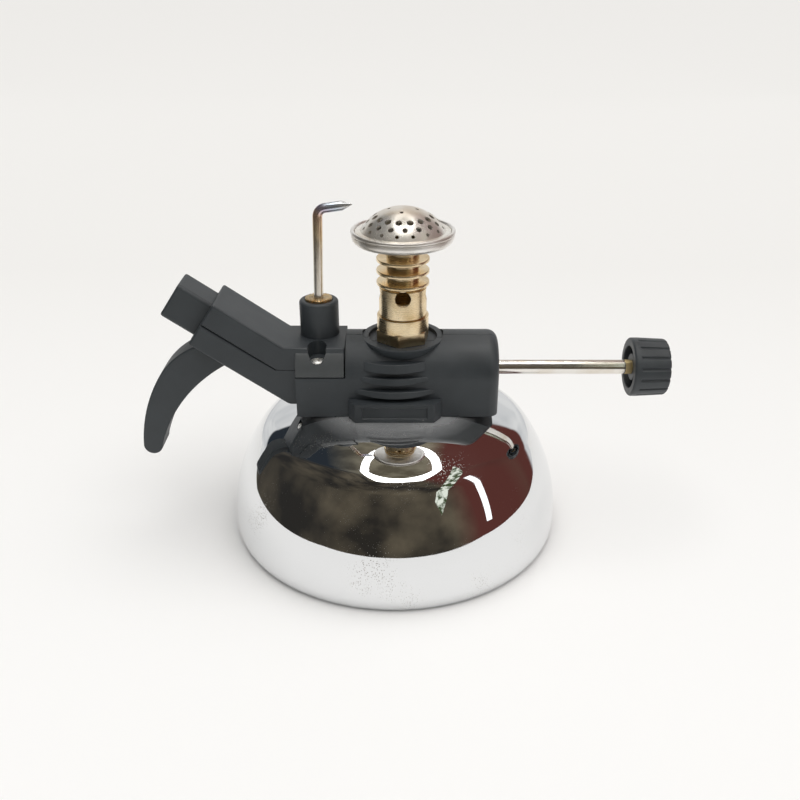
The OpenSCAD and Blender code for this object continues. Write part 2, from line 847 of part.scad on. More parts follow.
module ribs() {
    rib(pad_w / 2 - 1.35, 2.2, tank_h + rib_base);
    rib(pad_w / 2 - 2.8, 1.7, tank_h + rib_base + rib_pitch);
    rib(pad_w / 2 - 3.7, 2.2, tank_h + rib_base + 2 * rib_pitch);
}

// The pad at the foot of the housing, front and rear, with a shallow panel in its face
module pads() {
    half = pad_w / 2;
    front = half - 1.6;
    face = house_r + pad_out;
    panel_side = 3.2;
    panel_w = pad_w - 2 * panel_side;
    panel_margin = 0.9;
    panel_t = 0.4;
    for (side = [0, 180]) rotate(side) difference() {
        translate([0, 0, tank_h]) linear_extrude(pad_h) polygon([
            [-half, -house_r + house_wall], [-half, -house_r - 0.7], [-front, -face],
            [front, -face], [half, -house_r - 0.7], [half, -house_r + house_wall]
        ]);
        block(
            [-panel_w / 2, -face - 1, tank_h + panel_margin],
            [panel_w / 2, -face + panel_t, tank_h + pad_h - panel_margin]
        );
    }
}

// The whole housing, before it is cut into a front and a rear half
module housing_whole() {
    difference() {
        union() {
            difference() {
                union() {
                    housing_form(0, tank_h);
                    ribs();
                    pads();
                }
                housing_form(house_wall, tank_h + house_floor);
            }
            translate([burner_x, 0, 0]) rotate_extrude() polygon([
                [0, well_z - well_floor_t], [ring_r - 2.4, well_z - well_floor_t], [ring_r, well_z - 0.4],
                [ring_r, ring_top], [0, ring_top]
            ]);
            for (x = housing_screw_x) {
                y_cyl(boss_d, -house_r + 1, house_r - 1, x, low_boss_z);
                y_cyl(sink_boss_d, house_r - screw_sink - 1.2, house_r - 1, x, low_boss_z);
            }
            z_cyl(boss_d + 0.6, tank_h, skirt_z, -electrode_x, block_screw_y);
        }
        z_cyl(well_d, well_z, axis_z + house_w, burner_x);
        z_cyl(2 * ring_r + 0.1, ring_top, axis_z + house_w, burner_x);
        z_cyl(top_boss_d + 0.6, well_z - well_floor_t - 1, well_z + 1, burner_x);
        z_cyl(valve_d + 0.6, tank_h - 1, tank_h + house_floor + 1);
        x_cyl(rod_d + 2 * rod_hole_gap, house_right - house_wall - 1, house_right + 1);
        block([-house_left - 1, -house_w, skirt_z - seam_gap], [-block_end, house_w, axis_z + house_w]);
        z_cyl(screw_d + 2 * fit_gap, tank_h + house_floor, skirt_z, -electrode_x, block_screw_y);
        for (x = housing_screw_x) {
            y_cyl(screw_d + 0.5, -seam_y, house_w, x, low_boss_z);
            y_cyl(screw_d + 2 * fit_gap, -house_r + house_wall, 0, x, low_boss_z);
            y_cyl(screw_head_d + 0.4, house_r - screw_sink, house_w, x, low_boss_z);
        }
    }
}

module housing_front() {
    color("darkslategray") intersection() {
        housing_whole();
        block([-tank_d, -tank_d, 0], [tank_d, -seam_y - seam_gap / 2, tank_d]);
    }
}

module housing_rear() {
    color("darkslategray") intersection() {
        housing_whole();
        block([-tank_d, -seam_y + seam_gap / 2, 0], [tank_d, tank_d, tank_d]);
    }
}

module housing_screws() {
    head_y = house_r - screw_sink + screw_head_h;
    shank_l = 2 * house_r - screw_sink - house_wall - 1;
    color("silver") for (x = housing_screw_x)
        translate([x, head_y, low_boss_z]) rotate([-90, 0, 0]) screw(shank_l);
}

// The handle's upper shell, with the block and its side panels over the housing's left end
module handle_top() {
    seam_left = at_height(seam_lift, shell_seam_z);
    outline = [
        handle_point(0, handle_h / 2), [-bend_x, block_z], [-block_end - seam_gap, block_z],
        [-block_end - seam_gap, skirt_z], [-house_left, skirt_z], [-house_left, shell_seam_z],
        seam_left, handle_point(0, seam_lift)
    ];
    inside = [
        handle_point(handle_wall, cavity_h), at_height(cavity_h, block_z - handle_wall),
        [0, block_z - handle_wall], [0, skirt_z - 1], [-house_left, skirt_z - 1],
        seam_left - [0, 1], handle_point(handle_wall, seam_lift - 1)
    ];
    panel_top = block_z - panel_step;
    color("darkslategray") difference() {
        union() {
            difference() {
                union() {
                    side_view(handle_w) polygon(outline);
                    intersection() {
                        x_cyl(house_w, -house_left, -block_end - seam_gap, 0, panel_z);
                        block([-house_left, -house_w, skirt_z], [0, house_w, panel_top]);
                    }
                }
                side_view(cavity_w) polygon(inside);
                intersection() {
                    x_cyl(house_w - 2 * handle_wall, -house_left + handle_wall, 0, 0, panel_z);
                    block([-house_left, -house_w, skirt_z - 1], [0, house_w, panel_top - handle_wall]);
                }
            }
            intersection() {
                z_cyl(counterbore_d + 2 * handle_wall, skirt_z, block_z, -electrode_x, block_screw_y);
                union() {
                    side_view(handle_w) polygon(outline);
                    x_cyl(house_w, -house_left, -block_end - seam_gap, 0, panel_z);
                }
            }
            z_cyl(boss_d, shell_seam_z, block_z - handle_wall + eps, handle_screw_x, handle_screw_y);
        }
        z_cyl(
            counterbore_d, block_screw_seat + screw_head_h, block_z + 1, -electrode_x, block_screw_y
        );
        z_cyl(screw_head_d + 0.2, block_screw_seat, block_z, -electrode_x, block_screw_y);
        z_cyl(screw_d + 0.5, skirt_z - 1, block_z, -electrode_x, block_screw_y);
        z_cyl(
            screw_d + 2 * fit_gap, shell_seam_z - 1, block_z - handle_wall - 0.6,
            handle_screw_x, handle_screw_y
        );
        z_cyl(
            collar_stub_d + 2 * fit_gap, block_z - 2 * handle_wall, block_z + 1,
            -electrode_x, electrode_y
        );
        button_opening();
    }
}

// The opening in the handle's end that the button slides in
module button_opening() {
    on_handle() block(
        [-1, -button_w / 2 - slide_gap, -button_half - slide_gap],
        [handle_wall + 1, button_w / 2 + slide_gap, button_half + slide_gap]
    );
}

module handle_bottom() {
    seam_low = seam_lift - seam_gap;
    inner_low = handle_wall - handle_h / 2;
    x_end = -house_left - seam_gap;
    outline = [
        handle_point(0, seam_low), at_height(seam_low, shell_seam_z - seam_gap),
        [x_end, shell_seam_z - seam_gap], [x_end, lower_z],
        at_height(-handle_h / 2, lower_z), handle_point(0, -handle_h / 2)
    ];
    inside = [
        handle_point(handle_wall, seam_low + 2), at_height(seam_low + 2, shell_seam_z + 1),
        [0, shell_seam_z + 1], [0, lower_z + handle_wall],
        at_height(inner_low, lower_z + handle_wall), handle_point(handle_wall, inner_low)
    ];
    color("darkslategray") difference() {
        union() {
            difference() {
                side_view(handle_w) polygon(outline);
                side_view(cavity_w) polygon(inside);
            }
            z_cyl(boss_d, lower_z, shell_seam_z - seam_gap, handle_screw_x, handle_screw_y);
        }
        z_cyl(screw_d + 0.5, lower_z - 1, shell_seam_z + 1, handle_screw_x, handle_screw_y);
        z_cyl(screw_head_d + 0.4, lower_z - 1, lower_z + screw_sink, handle_screw_x, handle_screw_y);
        button_opening();
    }
}

// Centres of the hook's two curves, set by where it leaves the handle and by its tip
hook_root = handle_point(0, -handle_h / 2);
hook_tip_r = hook_tip_t / 2;
hook_level = hook_tip_z + hook_tip_r;
hook_belly = 2.7;
hook_outer_z = hook_level - hook_belly;
hook_drop = hook_root[1] - hook_outer_z;
hook_outer = [hook_root[0] + sqrt(pow(hook_outer_r, 2) - pow(hook_drop, 2)), hook_outer_z];
hook_tip_x = hook_outer[0] - sqrt(pow(hook_outer_r, 2) - pow(hook_level - hook_outer_z, 2)) + hook_tip_r;
hook_sweep = 10.7;
hook_inner_z = hook_level - hook_sweep;
hook_inner_half = sqrt(pow(hook_inner_r, 2) - pow(hook_level - hook_inner_z, 2));
hook_inner = [hook_tip_x + hook_tip_r + hook_inner_half, hook_inner_z];

module finger_hook() {
    under = handle_point(handle_l, -handle_h / 2);
    left = hook_tip_x - hook_outer_r;
    color("darkslategray") side_view(hook_w) {
        intersection() {
            difference() {
                translate(hook_outer) circle(hook_outer_r);
                translate(hook_inner) circle(hook_inner_r);
            }
            polygon([hook_root, under, [under[0], hook_level], [left, hook_level], [left, hook_root[1]]]);
        }
        translate([hook_tip_x, hook_level]) circle(hook_tip_r);
    }
}

module block_screw() {
    color("silver") translate([-electrode_x, block_screw_y, block_screw_seat + screw_head_h])
        screw(block_shank_l);
}

module handle_screw() {
    head_z = lower_z + screw_sink - screw_head_h;
    color("silver") translate([handle_screw_x, handle_screw_y, head_z]) rotate([180, 0, 0])
        screw(block_z - handle_wall - 1 - lower_z - screw_sink);
}

module ignition_button() {
    corner = 0.9;
    color("darkslategray") on_handle() difference() {
        union() {
            translate([-button_out, 0, 0]) rotate([90, 0, 90]) linear_extrude(button_out + button_in)
                soft_rect(button_w, 2 * button_half, corner);
            block(
                [flange_in, -cavity_w / 2 + slide_gap, -button_half],
                [button_in, cavity_w / 2 - slide_gap, button_half]
            );
        }
        translate([-1, 0, 0]) rotate([0, 90, 0]) cylinder(d = plunger_d + 2 * fit_gap, h = button_in + 2);
    }
}

module piezo_plunger() {
    color("white") on_handle() translate([-1, 0, 0]) rotate([0, 90, 0])
        cylinder(d = plunger_d, h = plunger_in + 1);
}

module piezo_spring() {
    color("silver") on_handle() translate([button_in, 0, 0]) rotate([0, 90, 0])
        coil(plunger_d / 2 + 1, spring_wire, piezo_x - button_in, 4);
}

module piezo_body() {
    half_h = cavity_h - 0.1;
    color("dimgray") on_handle() difference() {
        block([piezo_x, -piezo_w / 2, -half_h], [piezo_x + piezo_l, piezo_w / 2, half_h]);
        translate([piezo_x - 1, 0, 0]) rotate([0, 90, 0])
            cylinder(d = plunger_d + 2 * run_gap, h = piezo_bore_x - piezo_x + 1);
    }
}

// The route from the igniter's inner end, through the block, to the foot of the electrode
module ignition_lead() {
    start = handle_point(piezo_x + piezo_l + wire_gap, 0);
    foot = block_z - collar_stub_l;
    color("firebrick") wire([
        [start[0], electrode_y, start[1]], [wire_bend_x, electrode_y, lead_level],
        [-electrode_x, electrode_y, lead_level], [-electrode_x, electrode_y, foot]
    ], lead_d);
}

module earth_wire() {
    start = handle_point(piezo_x + piezo_l + wire_gap, earth_lift);
    color("peru") wire([
        [start[0], earth_y, start[1]], [wire_bend_x, earth_y, earth_level],
        [-sqrt(pow(valve_d / 2, 2) - pow(earth_y, 2)), earth_y, earth_level]
    ], earth_d);
}

module electrode_collar() {
    edge = 0.7;
    color("darkslategray") translate([-electrode_x, electrode_y, 0]) difference() {
        union() {
            translate([0, 0, block_z]) rotate_extrude() {
                square([collar_d / 2 - edge, collar_h]);
                square([collar_d / 2, collar_h - edge]);
                translate([collar_d / 2 - edge, collar_h - edge]) circle(edge);
            }
            z_cyl(collar_stub_d, block_z - collar_stub_l, block_z + eps);
        }
        z_cyl(electrode_d + 2 * fit_gap, block_z - collar_stub_l - 1, block_z + collar_h + 1);
        z_cyl(ferrule_d + 2 * fit_gap, block_z + collar_h - ferrule_sink, block_z + collar_h + 1);
    }
}

module electrode_ferrule() {
    teeth = 24;
    top = block_z + collar_h + ferrule_proud;
    color("gold") translate([-electrode_x, electrode_y, 0]) difference() {
        z_cyl(ferrule_d, block_z + collar_h - ferrule_sink, top);
        z_cyl(electrode_d + 0.5, 0, top + 1);
        for (i = [0 : teeth - 1]) rotate(360 * i / teeth)
            z_cyl(0.4, top - ferrule_proud, top + 1, ferrule_d / 2);
    }
}

// The spark rod: a straight stem, a round bend and an arm with a ground point
module electrode_rod() {
    stem_z = block_z + collar_h;
    bend_angle = 90 - electrode_tilt - electrode_lean;
    straight = electrode_h - collar_h - bend_r;
    arm_l = electrode_arm - bend_r - point_l;
    overlap = 0.2;
    color("lightgray") translate([-electrode_x, electrode_y, 0]) {
        z_cyl(electrode_d, block_z - collar_stub_l, stem_z + eps);
        translate([0, 0, stem_z]) rotate([0, electrode_lean, 0]) {
            sphere(d = 1.06 * electrode_d);
            cylinder(d = electrode_d, h = straight + overlap);
            translate([bend_r, 0, straight]) rotate([90, 0, 0]) rotate([0, 0, 180 - bend_angle])
                rotate_extrude(angle = bend_angle) translate([bend_r, 0]) circle(d = 1.04 * electrode_d);
            translate([bend_r, 0, straight]) rotate([0, bend_angle, 0]) translate([-bend_r, 0, -overlap]) {
                cylinder(d = electrode_d, h = arm_l + overlap);
                translate([0, 0, arm_l + overlap - eps]) cylinder(d1 = electrode_d, d2 = 0.2, h = point_l);
            }
        }
    }
}

tank_shell();
tank_base();
foot_ring();
tank_neck();
wick_tube();
gas_wick();
refill_body();
refill_stem();
refill_spring();
refill_seal();
valve_body();
valve_needle();
rod_seal();
gland_nut();
control_rod();
control_knob();
gas_jet();
burner_base();
mixing_tube();
burner_pan();
burner_cap();
housing_front();
housing_rear();
housing_screws();
handle_top();
handle_bottom();
finger_hook();
block_screw();
handle_screw();
ignition_button();
piezo_body();
piezo_plunger();
piezo_spring();
ignition_lead();
earth_wire();
electrode_collar();
electrode_ferrule();
electrode_rod();
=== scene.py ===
# %% [markdown]
# # A small butane burner, dressed in Blender
# The CAD model gives every solid and its place. This lesson puts better surfaces round it. All sizes are
# in millimetres and are turned into metres when a mesh is made.

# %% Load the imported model
import math
import bpy
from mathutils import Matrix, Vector


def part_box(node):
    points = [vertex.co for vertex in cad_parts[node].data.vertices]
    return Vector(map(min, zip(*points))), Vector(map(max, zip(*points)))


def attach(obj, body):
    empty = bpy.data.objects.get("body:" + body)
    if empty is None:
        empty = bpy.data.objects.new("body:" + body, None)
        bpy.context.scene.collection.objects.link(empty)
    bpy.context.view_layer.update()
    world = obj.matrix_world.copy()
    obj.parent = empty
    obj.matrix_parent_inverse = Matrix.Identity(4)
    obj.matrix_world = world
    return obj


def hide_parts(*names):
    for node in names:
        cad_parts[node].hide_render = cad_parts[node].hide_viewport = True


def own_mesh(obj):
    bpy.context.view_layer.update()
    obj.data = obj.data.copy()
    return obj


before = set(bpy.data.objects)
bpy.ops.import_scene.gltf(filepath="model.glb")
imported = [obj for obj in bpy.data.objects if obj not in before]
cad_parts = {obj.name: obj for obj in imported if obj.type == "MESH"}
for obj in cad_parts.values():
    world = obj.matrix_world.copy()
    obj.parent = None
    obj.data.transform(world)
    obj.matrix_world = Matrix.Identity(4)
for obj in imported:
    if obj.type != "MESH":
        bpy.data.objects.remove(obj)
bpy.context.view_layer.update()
MM = 0.001

# %% [markdown]
# ## The camera
# The photograph looks down on the burner from the front, close by and without any roll. A Track To
# constraint could aim the camera, but plain numbers keep it fixed.

# %% Camera
bpy.ops.object.select_all(action="DESELECT")
camera_place = Vector((1.24, -188.1, 126.6)) * MM
camera_tilt = math.radians(90 - 26.688)
bpy.ops.object.camera_add(location=camera_place, rotation=(camera_tilt, 0, 0))
camera = bpy.context.object
camera.data.lens = 39.16
camera.data.sensor_width = 36
camera.data.clip_start = 0.005
bpy.context.scene.camera = camera
print("camera at", [round(v, 3) for v in camera.location])

# %% [markdown]
# ## Small tools for the bench
# Most pieces are either turned on a lathe or moulded with one outline and a thickness, so two ways of
# starting a piece cover nearly everything: spin an outline, or extrude one. Both start from a circle
# primitive whose points are moved on to the outline.

# %% Selecting, outlines and rounding
def clear_selection():
    if bpy.context.mode != "OBJECT":
        bpy.ops.object.mode_set(mode="OBJECT")
    bpy.ops.object.select_all(action="DESELECT")


def work_on(piece):
    clear_selection()
    piece.select_set(True)
    bpy.context.view_layer.objects.active = piece


def points_to_mesh(name, points, filled):
    clear_selection()
    fill = "NGON" if filled else "NOTHING"
    bpy.ops.mesh.primitive_circle_add(vertices=len(points), radius=MM, fill_type=fill)
    piece = bpy.context.object
    piece.name = piece.data.name = name
    for vertex, point in zip(piece.data.vertices, points):
        vertex.co = Vector(point) * MM
    return piece


def open_up():
    bpy.ops.object.mode_set(mode="EDIT")
    bpy.ops.mesh.select_all(action="SELECT")


def pull(way):
    bpy.ops.mesh.extrude_region_move(TRANSFORM_OT_translate={"value": Vector(way) * MM})


def close_up():
    bpy.ops.mesh.select_all(action="SELECT")
    bpy.ops.mesh.remove_doubles(threshold=0.0005 * MM)
    bpy.ops.mesh.delete_loose(use_verts=True, use_edges=True, use_faces=False)
    bpy.ops.mesh.select_all(action="SELECT")
    bpy.ops.mesh.normals_make_consistent(inside=False)
    bpy.ops.object.mode_set(mode="OBJECT")


def arc(centre, radius, start, end, steps):
    angles = [math.radians(start + (end - start) * i / steps) for i in range(steps + 1)]
    return [(centre[0] + radius * math.cos(a), centre[1] + radius * math.sin(a)) for a in angles]


def rounded(corners, steps=5):
    outline = []
    for i, corner in enumerate(corners):
        here = Vector(corner[:2])
        if len(corner) == 2:
            outline.append(tuple(here))
            continue
        back = (Vector(corners[i - 1][:2]) - here).normalized()
        ahead = (Vector(corners[(i + 1) % len(corners)][:2]) - here).normalized()
        half = back.angle(ahead) / 2
        middle = here + (back + ahead).normalized() * corner[2] / math.sin(half)
        start = here + back * corner[2] / math.tan(half) - middle
        end = here + ahead * corner[2] / math.tan(half) - middle
        for step in range(steps + 1):
            outline.append(tuple(middle + start.lerp(end, step / steps).normalized() * corner[2]))
    return outline


print("a square with one round corner:", len(rounded([(0, 0), (1, 0), (1, 1, 0.2), (0, 1)])), "points")


# %% Turning and extruding
def turn(name, outline, centre=(0, 0), steps=96, along="Z"):
    if along == "Z":
        points = [(centre[0] + r, centre[1], z) for r, z in outline]
        middle, axis = (centre[0] * MM, centre[1] * MM, 0), (0, 0, 1)
    else:
        points = [(x, centre[0], centre[1] + r) for r, x in outline]
        middle, axis = (0, centre[0] * MM, centre[1] * MM), (1, 0, 0)
    piece = points_to_mesh(name, points, False)
    open_up()
    bpy.ops.mesh.spin(steps=steps, angle=math.tau, center=middle, axis=axis)
    close_up()
    return piece


def slab(name, outline, along, low, high):
    layout = {"X": (2, 0, 1), "Y": (0, 2, 1), "Z": (0, 1, 2)}[along]
    points = [[(u, v, low)[i] for i in layout] for u, v in outline]
    piece = points_to_mesh(name, points, True)
    open_up()
    pull([(0, 0, high - low)[i] for i in layout])
    close_up()
    return piece


def round_bar(name, diameter, low, high, place, along="Z", sides=48):
    outline = arc(place, diameter / 2, 0, 360 - 360 / sides, sides - 1)
    return slab(name, outline, along, low, high)


print("a slab reaches along X, Y or Z; a turned piece runs round Z or X")


# %% Cutting, softening and joining
def apply_modifier(piece, kind, settings):
    work_on(piece)
    bpy.ops.object.modifier_add(type=kind)
    modifier = piece.modifiers[-1]
    for key, value in settings.items():
        setattr(modifier, key, value)
    bpy.ops.object.modifier_apply(modifier=modifier.name)


def cut(piece, cutter):
    apply_modifier(piece, "BOOLEAN", {"operation": "DIFFERENCE", "solver": "EXACT", "object": cutter})
    bpy.data.objects.remove(cutter)


def soften(piece, width, segments=3, angle=35):
    apply_modifier(piece, "BEVEL", {
        "width": width * MM, "segments": segments, "limit_method": "ANGLE",
        "angle_limit": math.radians(angle), "use_clamp_overlap": True,
    })


def unselect(kind):
    bpy.ops.object.mode_set(mode="EDIT")
    bpy.ops.mesh.select_mode(type=kind)
    bpy.ops.mesh.select_all(action="DESELECT")
    bpy.ops.object.mode_set(mode="OBJECT")


def bevel_edges(piece, chosen, width, segments):
    work_on(piece)
    unselect("EDGE")
    places = [vertex.co / MM for vertex in piece.data.vertices]
    for edge in piece.data.edges:
        edge.select = chosen(places[edge.vertices[0]], places[edge.vertices[1]])
    bpy.ops.object.mode_set(mode="EDIT")
    bpy.ops.mesh.bevel(offset=width * MM, segments=segments, affect="EDGES")
    bpy.ops.object.mode_set(mode="OBJECT")


def settle(piece, rotation, place):
    work_on(piece)
    piece.rotation_euler = rotation
    piece.location = Vector(place) * MM
    bpy.ops.object.transform_apply(location=True, rotation=True, scale=True)
    return piece


def join(main, *others):
    work_on(main)
    for other in others:
        other.select_set(True)
    bpy.ops.object.join()
    return main


def hand_over(piece, node, finish, body="stove", smooth=35):
    work_on(piece)
    bpy.ops.object.shade_smooth_by_angle(angle=math.radians(smooth))
    apply_modifier(piece, "WEIGHTED_NORMAL", {"keep_sharp": True})
    if not piece.data.materials:
        piece.data.materials.append(finish)
    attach(piece, body)
    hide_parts(node)
    print(piece.name, "stands for", node, "with", len(piece.data.polygons), "faces")


print("the bench is ready")

# %% [markdown]
# ## Finishes from small building blocks
# A finish is one Principled shader with patterns on Object coordinates, so it needs no picture and looks
# the same from every side. The blocks below add a pattern, spread its values over a range, mix two
# colours with it, and press it into the surface as a relief. Most finishes are mottled with a noise.

# %% Finish blocks
def new_finish(name, colour, metal, rough):
    finish = bpy.data.materials.new(name)
    finish.use_nodes = True
    shader = finish.node_tree.nodes["Principled BSDF"]
    shader.inputs["Base Color"].default_value = (*colour, 1)
    shader.inputs["Metallic"].default_value = metal
    shader.inputs["Roughness"].default_value = rough
    return finish


def add_node(finish, kind):
    return finish.node_tree.nodes.new("ShaderNode" + kind)


def link(finish, source, socket):
    finish.node_tree.links.new(source, socket)


def place_on(finish, scale=(1, 1, 1), shift=(0, 0, 0)):
    mapping = add_node(finish, "Mapping")
    mapping.inputs["Scale"].default_value = scale
    mapping.inputs["Location"].default_value = shift
    link(finish, add_node(finish, "TexCoord").outputs["Object"], mapping.inputs["Vector"])
    return mapping.outputs["Vector"]


def pattern(finish, kind, place, settings, output):
    node = add_node(finish, kind)
    for key, value in settings.items():
        if key in node.inputs:
            node.inputs[key].default_value = value
        else:
            setattr(node, key, value)
    link(finish, place, node.inputs["Vector"])
    return node.outputs[output]


def noise(finish, scale, detail, stretch=(1, 1, 1)):
    settings = {"Scale": scale, "Detail": detail}
    return pattern(finish, "TexNoise", place_on(finish, stretch), settings, "Fac")


def axes(finish):
    node = add_node(finish, "SeparateXYZ")
    link(finish, place_on(finish), node.inputs["Vector"])
    return node.outputs


def spread(finish, source, low, high, to_low=0, to_high=1):
    node = add_node(finish, "MapRange")
    for key, value in zip(("From Min", "From Max", "To Min", "To Max"), (low, high, to_low, to_high)):
        node.inputs[key].default_value = value
    link(finish, source, node.inputs["Value"])
    return node.outputs["Result"]


def tint(finish, factor, first, second):
    node = add_node(finish, "Mix")
    node.data_type = "RGBA"
    link(finish, factor, node.inputs[0])
    for socket, colour in ((node.inputs[6], first), (node.inputs[7], second)):
        if isinstance(colour, tuple):
            socket.default_value = (*colour, 1)
        else:
            link(finish, colour, socket)
    return node.outputs[2]


def maths(finish, operation, first, second):
    node = add_node(finish, "Math")
    node.operation = operation
    for socket, value in zip(node.inputs, (first, second)):
        if isinstance(value, (int, float)):
            socket.default_value = value
        else:
            link(finish, value, socket)
    return node.outputs[0]


def feed(finish, socket, source, shader="Principled BSDF"):
    link(finish, source, finish.node_tree.nodes[shader].inputs[socket])


def colour_by(finish, factor, first, second):
    feed(finish, "Base Color", tint(finish, factor, first, second))


def rough_by(finish, source, low, high):
    feed(finish, "Roughness", spread(finish, source, 0.3, 0.7, low, high))


def mottle(finish, scale, detail, first, second, stretch=(1, 1, 1), reach=None):
    marks = noise(finish, scale, detail, stretch)
    colour_by(finish, spread(finish, marks, *reach) if reach else marks, first, second)
    return marks


def relief(finish, height, depth, strength):
    node = add_node(finish, "Bump")
    node.inputs["Distance"].default_value = depth * MM
    node.inputs["Strength"].default_value = strength
    link(finish, height, node.inputs["Height"])
    feed(finish, "Normal", node.outputs["Normal"])


def describe(finish):
    print(finish.name, "has", len(finish.node_tree.nodes), "nodes")


print("finish blocks ready")

# %% [markdown]
# ## Chrome plating
# The tank is plated mirror-bright, but a used one is never perfect: wiping marks make it slightly milky,
# more so round the housing, fine pits sit in patches, and the pressed sheet is faintly wavy. So noise
# drives the roughness and a speckle makes small dull spots.

# %% Chrome finish
chrome = new_finish("worn_chrome_plating", (0.80, 0.81, 0.82), 1, 0.03)
wiped = pattern(chrome, "TexNoise", place_on(chrome, (30, 30, 90)),
                {"Scale": 1.0, "Detail": 5.0, "Roughness": 0.6}, "Fac")
pits = pattern(chrome, "TexVoronoi", place_on(chrome), {"Scale": 2300.0}, "Distance")
pit_patches = pattern(chrome, "TexNoise", place_on(chrome, shift=(0.013, 0.0, 0.0)),
                      {"Scale": 70.0, "Detail": 4.0}, "Fac")
pit_size = spread(chrome, pit_patches, 0.52, 0.72, 0.0, 0.3)
pit_mask = maths(chrome, "LESS_THAN", pits, pit_size)
from_axis = add_node(chrome, "VectorMath")
from_axis.operation = "LENGTH"
link(chrome, place_on(chrome, (1, 1, 0)), from_axis.inputs[0])
near_housing = spread(chrome, from_axis.outputs["Value"], 0.0155, 0.0215, 0.3, 0.0)
near_housing = maths(chrome, "MULTIPLY", near_housing, spread(chrome, wiped, 0.35, 0.6, 0.6, 1.0))
chrome_haze = maths(chrome, "ADD", spread(chrome, wiped, 0.5, 0.78, 0.02, 0.12), near_housing)
feed(chrome, "Metallic", spread(chrome, near_housing, 0.0, 0.3, 1.0, 0.72))
feed(chrome, "Roughness", maths(chrome, "ADD", chrome_haze, maths(chrome, "MULTIPLY", pit_mask, 0.3)))
colour_by(chrome, pit_mask, (0.80, 0.81, 0.82), (0.50, 0.49, 0.47))
waviness = noise(chrome, 40, 1)
relief(chrome, waviness, 0.02, 0.25)
describe(chrome)

# %% [markdown]
# ## The tank
# The gas tank is a dome pressed from sheet: a small flat, a shallow crown, a round shoulder, a bulging side
# and a tuck under the widest ring. Its section is made of true arcs, so they are laid out as one outline,
# outside and inside, and spun round the tank's axis. A mirror shows every flat face, so this piece gets
# many more steps than the others.

# %% Tank
CROWN = ((12.5, -10.8), 43, 67.63)
SHOULDER = ((25.439, 20.642), 9, 35.95)
SIDE = ((1.8, 3.5), 38.2, 0)
LIP = ((34, 3.5), 6, -30)
SHEET = 0.8
TANK_TOP = 32.2
NECK_R = 5.03


def dome_line(inset, steps):
    line = [(NECK_R, TANK_TOP - inset), (12.0, TANK_TOP - inset)]
    start = 90
    for centre, radius, end in (CROWN, SHOULDER, SIDE, LIP):
        line += arc(centre, radius - inset, start, end, steps)[1 if start < 90 else 0:]
        start = end
    return line


tank_outside = dome_line(0, 20)
tank_inside = dome_line(SHEET, 8)[:-8] + arc(LIP[0], LIP[1] - SHEET, 0, -35.23, 4)[1:]
tank = turn("chrome_tank", tank_outside + tank_inside[::-1], steps=256)
hand_over(tank, "tank_shell", chrome, smooth=30)

# %% [markdown]
# ## The base plate and the foot
# A pressed plate closes the tank, with a cup in its middle for the refill valve, and a rubber ring is glued
# under it. Both are spun, and the ring gets two shallow grooves in the face that it stands on.

# %% Base plate finish and piece
zinc = new_finish("zinc_sheet", (0.62, 0.63, 0.64), 1, 0.32)
spangle = pattern(zinc, "TexVoronoi", place_on(zinc), {"Scale": 260.0}, "Color")
feed(zinc, "Roughness", spread(zinc, spangle, 0.1, 0.9, 0.24, 0.44))
colour_by(zinc, spangle, (0.52, 0.53, 0.55), (0.70, 0.70, 0.70))
rolled = noise(zinc, 160, 4, (1, 12, 1))
relief(zinc, rolled, 0.02, 0.3)
base_plate = turn("base_plate", rounded([
    (4.53, 6.0), (14.0, 6.0, 0.4), (14.0, 1.0, 0.8), (38.2, 1.0), (38.2, 1.8),
    (14.8, 1.8, 0.3), (14.8, 6.8, 0.9), (4.53, 6.8)
]), steps=128)
hand_over(base_plate, "tank_base", zinc)

# %% Foot ring finish and piece
rubber = new_finish("matte_rubber", (0.022, 0.022, 0.023), 0, 0.75)
bloom = mottle(rubber, 420, 5, (0.016, 0.016, 0.017), (0.034, 0.034, 0.035))
rough_by(rubber, bloom, 0.65, 0.9)
relief(rubber, bloom, 0.04, 0.4)
foot_ring = turn("rubber_foot", rounded([
    (31.617, 0, 0.25), (33.2, 0), (33.4, 0.3), (33.8, 0.3), (34.0, 0), (35.2, 0), (35.4, 0.3),
    (35.8, 0.3), (36.0, 0), (37.617, 0, 0.25), (37.617, 1.0), (31.617, 1.0)
]), steps=128)
hand_over(foot_ring, "foot_ring", rubber)

# %% [markdown]
# ## Charcoal plastic
# Housing, handle, hook, button and knob are moulded in one charcoal plastic with a soft sheen and a tiny
# grain. Handling leaves smoother patches, and light dust sits on it in specks. Grain, patches and dust each
# have their own scale. The block's side panels are painted paler: a painted sheen for the light they catch.

# %% Charcoal plastic finish
charcoal = new_finish("charcoal_moulding", (0.045, 0.05, 0.053), 0, 0.5)
patches = noise(charcoal, 120, 4)
grain = noise(charcoal, 3600, 2)
dust_cells = pattern(charcoal, "TexVoronoi", place_on(charcoal), {"Scale": 430.0}, "Distance")
dust_where = noise(charcoal, 95, 3)
dust = maths(charcoal, "LESS_THAN", dust_cells, spread(charcoal, dust_where, 0.52, 0.75, 0.0, 0.11))
handled = spread(charcoal, patches, 0.3, 0.7)
worn_grey = tint(charcoal, handled, (0.029, 0.035, 0.0395), (0.042, 0.0495, 0.055))
colour_by(charcoal, dust, worn_grey, (0.22, 0.22, 0.21))
rough_by(charcoal, patches, 0.40, 0.56)
relief(charcoal, grain, 0.02, 0.5)


def moulded(piece, node, body="stove", smooth=35):
    hand_over(piece, node, charcoal, body, smooth)


# Painted sheen: this copy for the side panels is painted paler to stand in for the light their faces catch.
charcoal_painted_sheen = charcoal.copy()
charcoal_painted_sheen.name = "charcoal_painted_sheen"
mottle(charcoal_painted_sheen, 260, 3, (0.052, 0.058, 0.060), (0.076, 0.082, 0.084))
describe(charcoal)

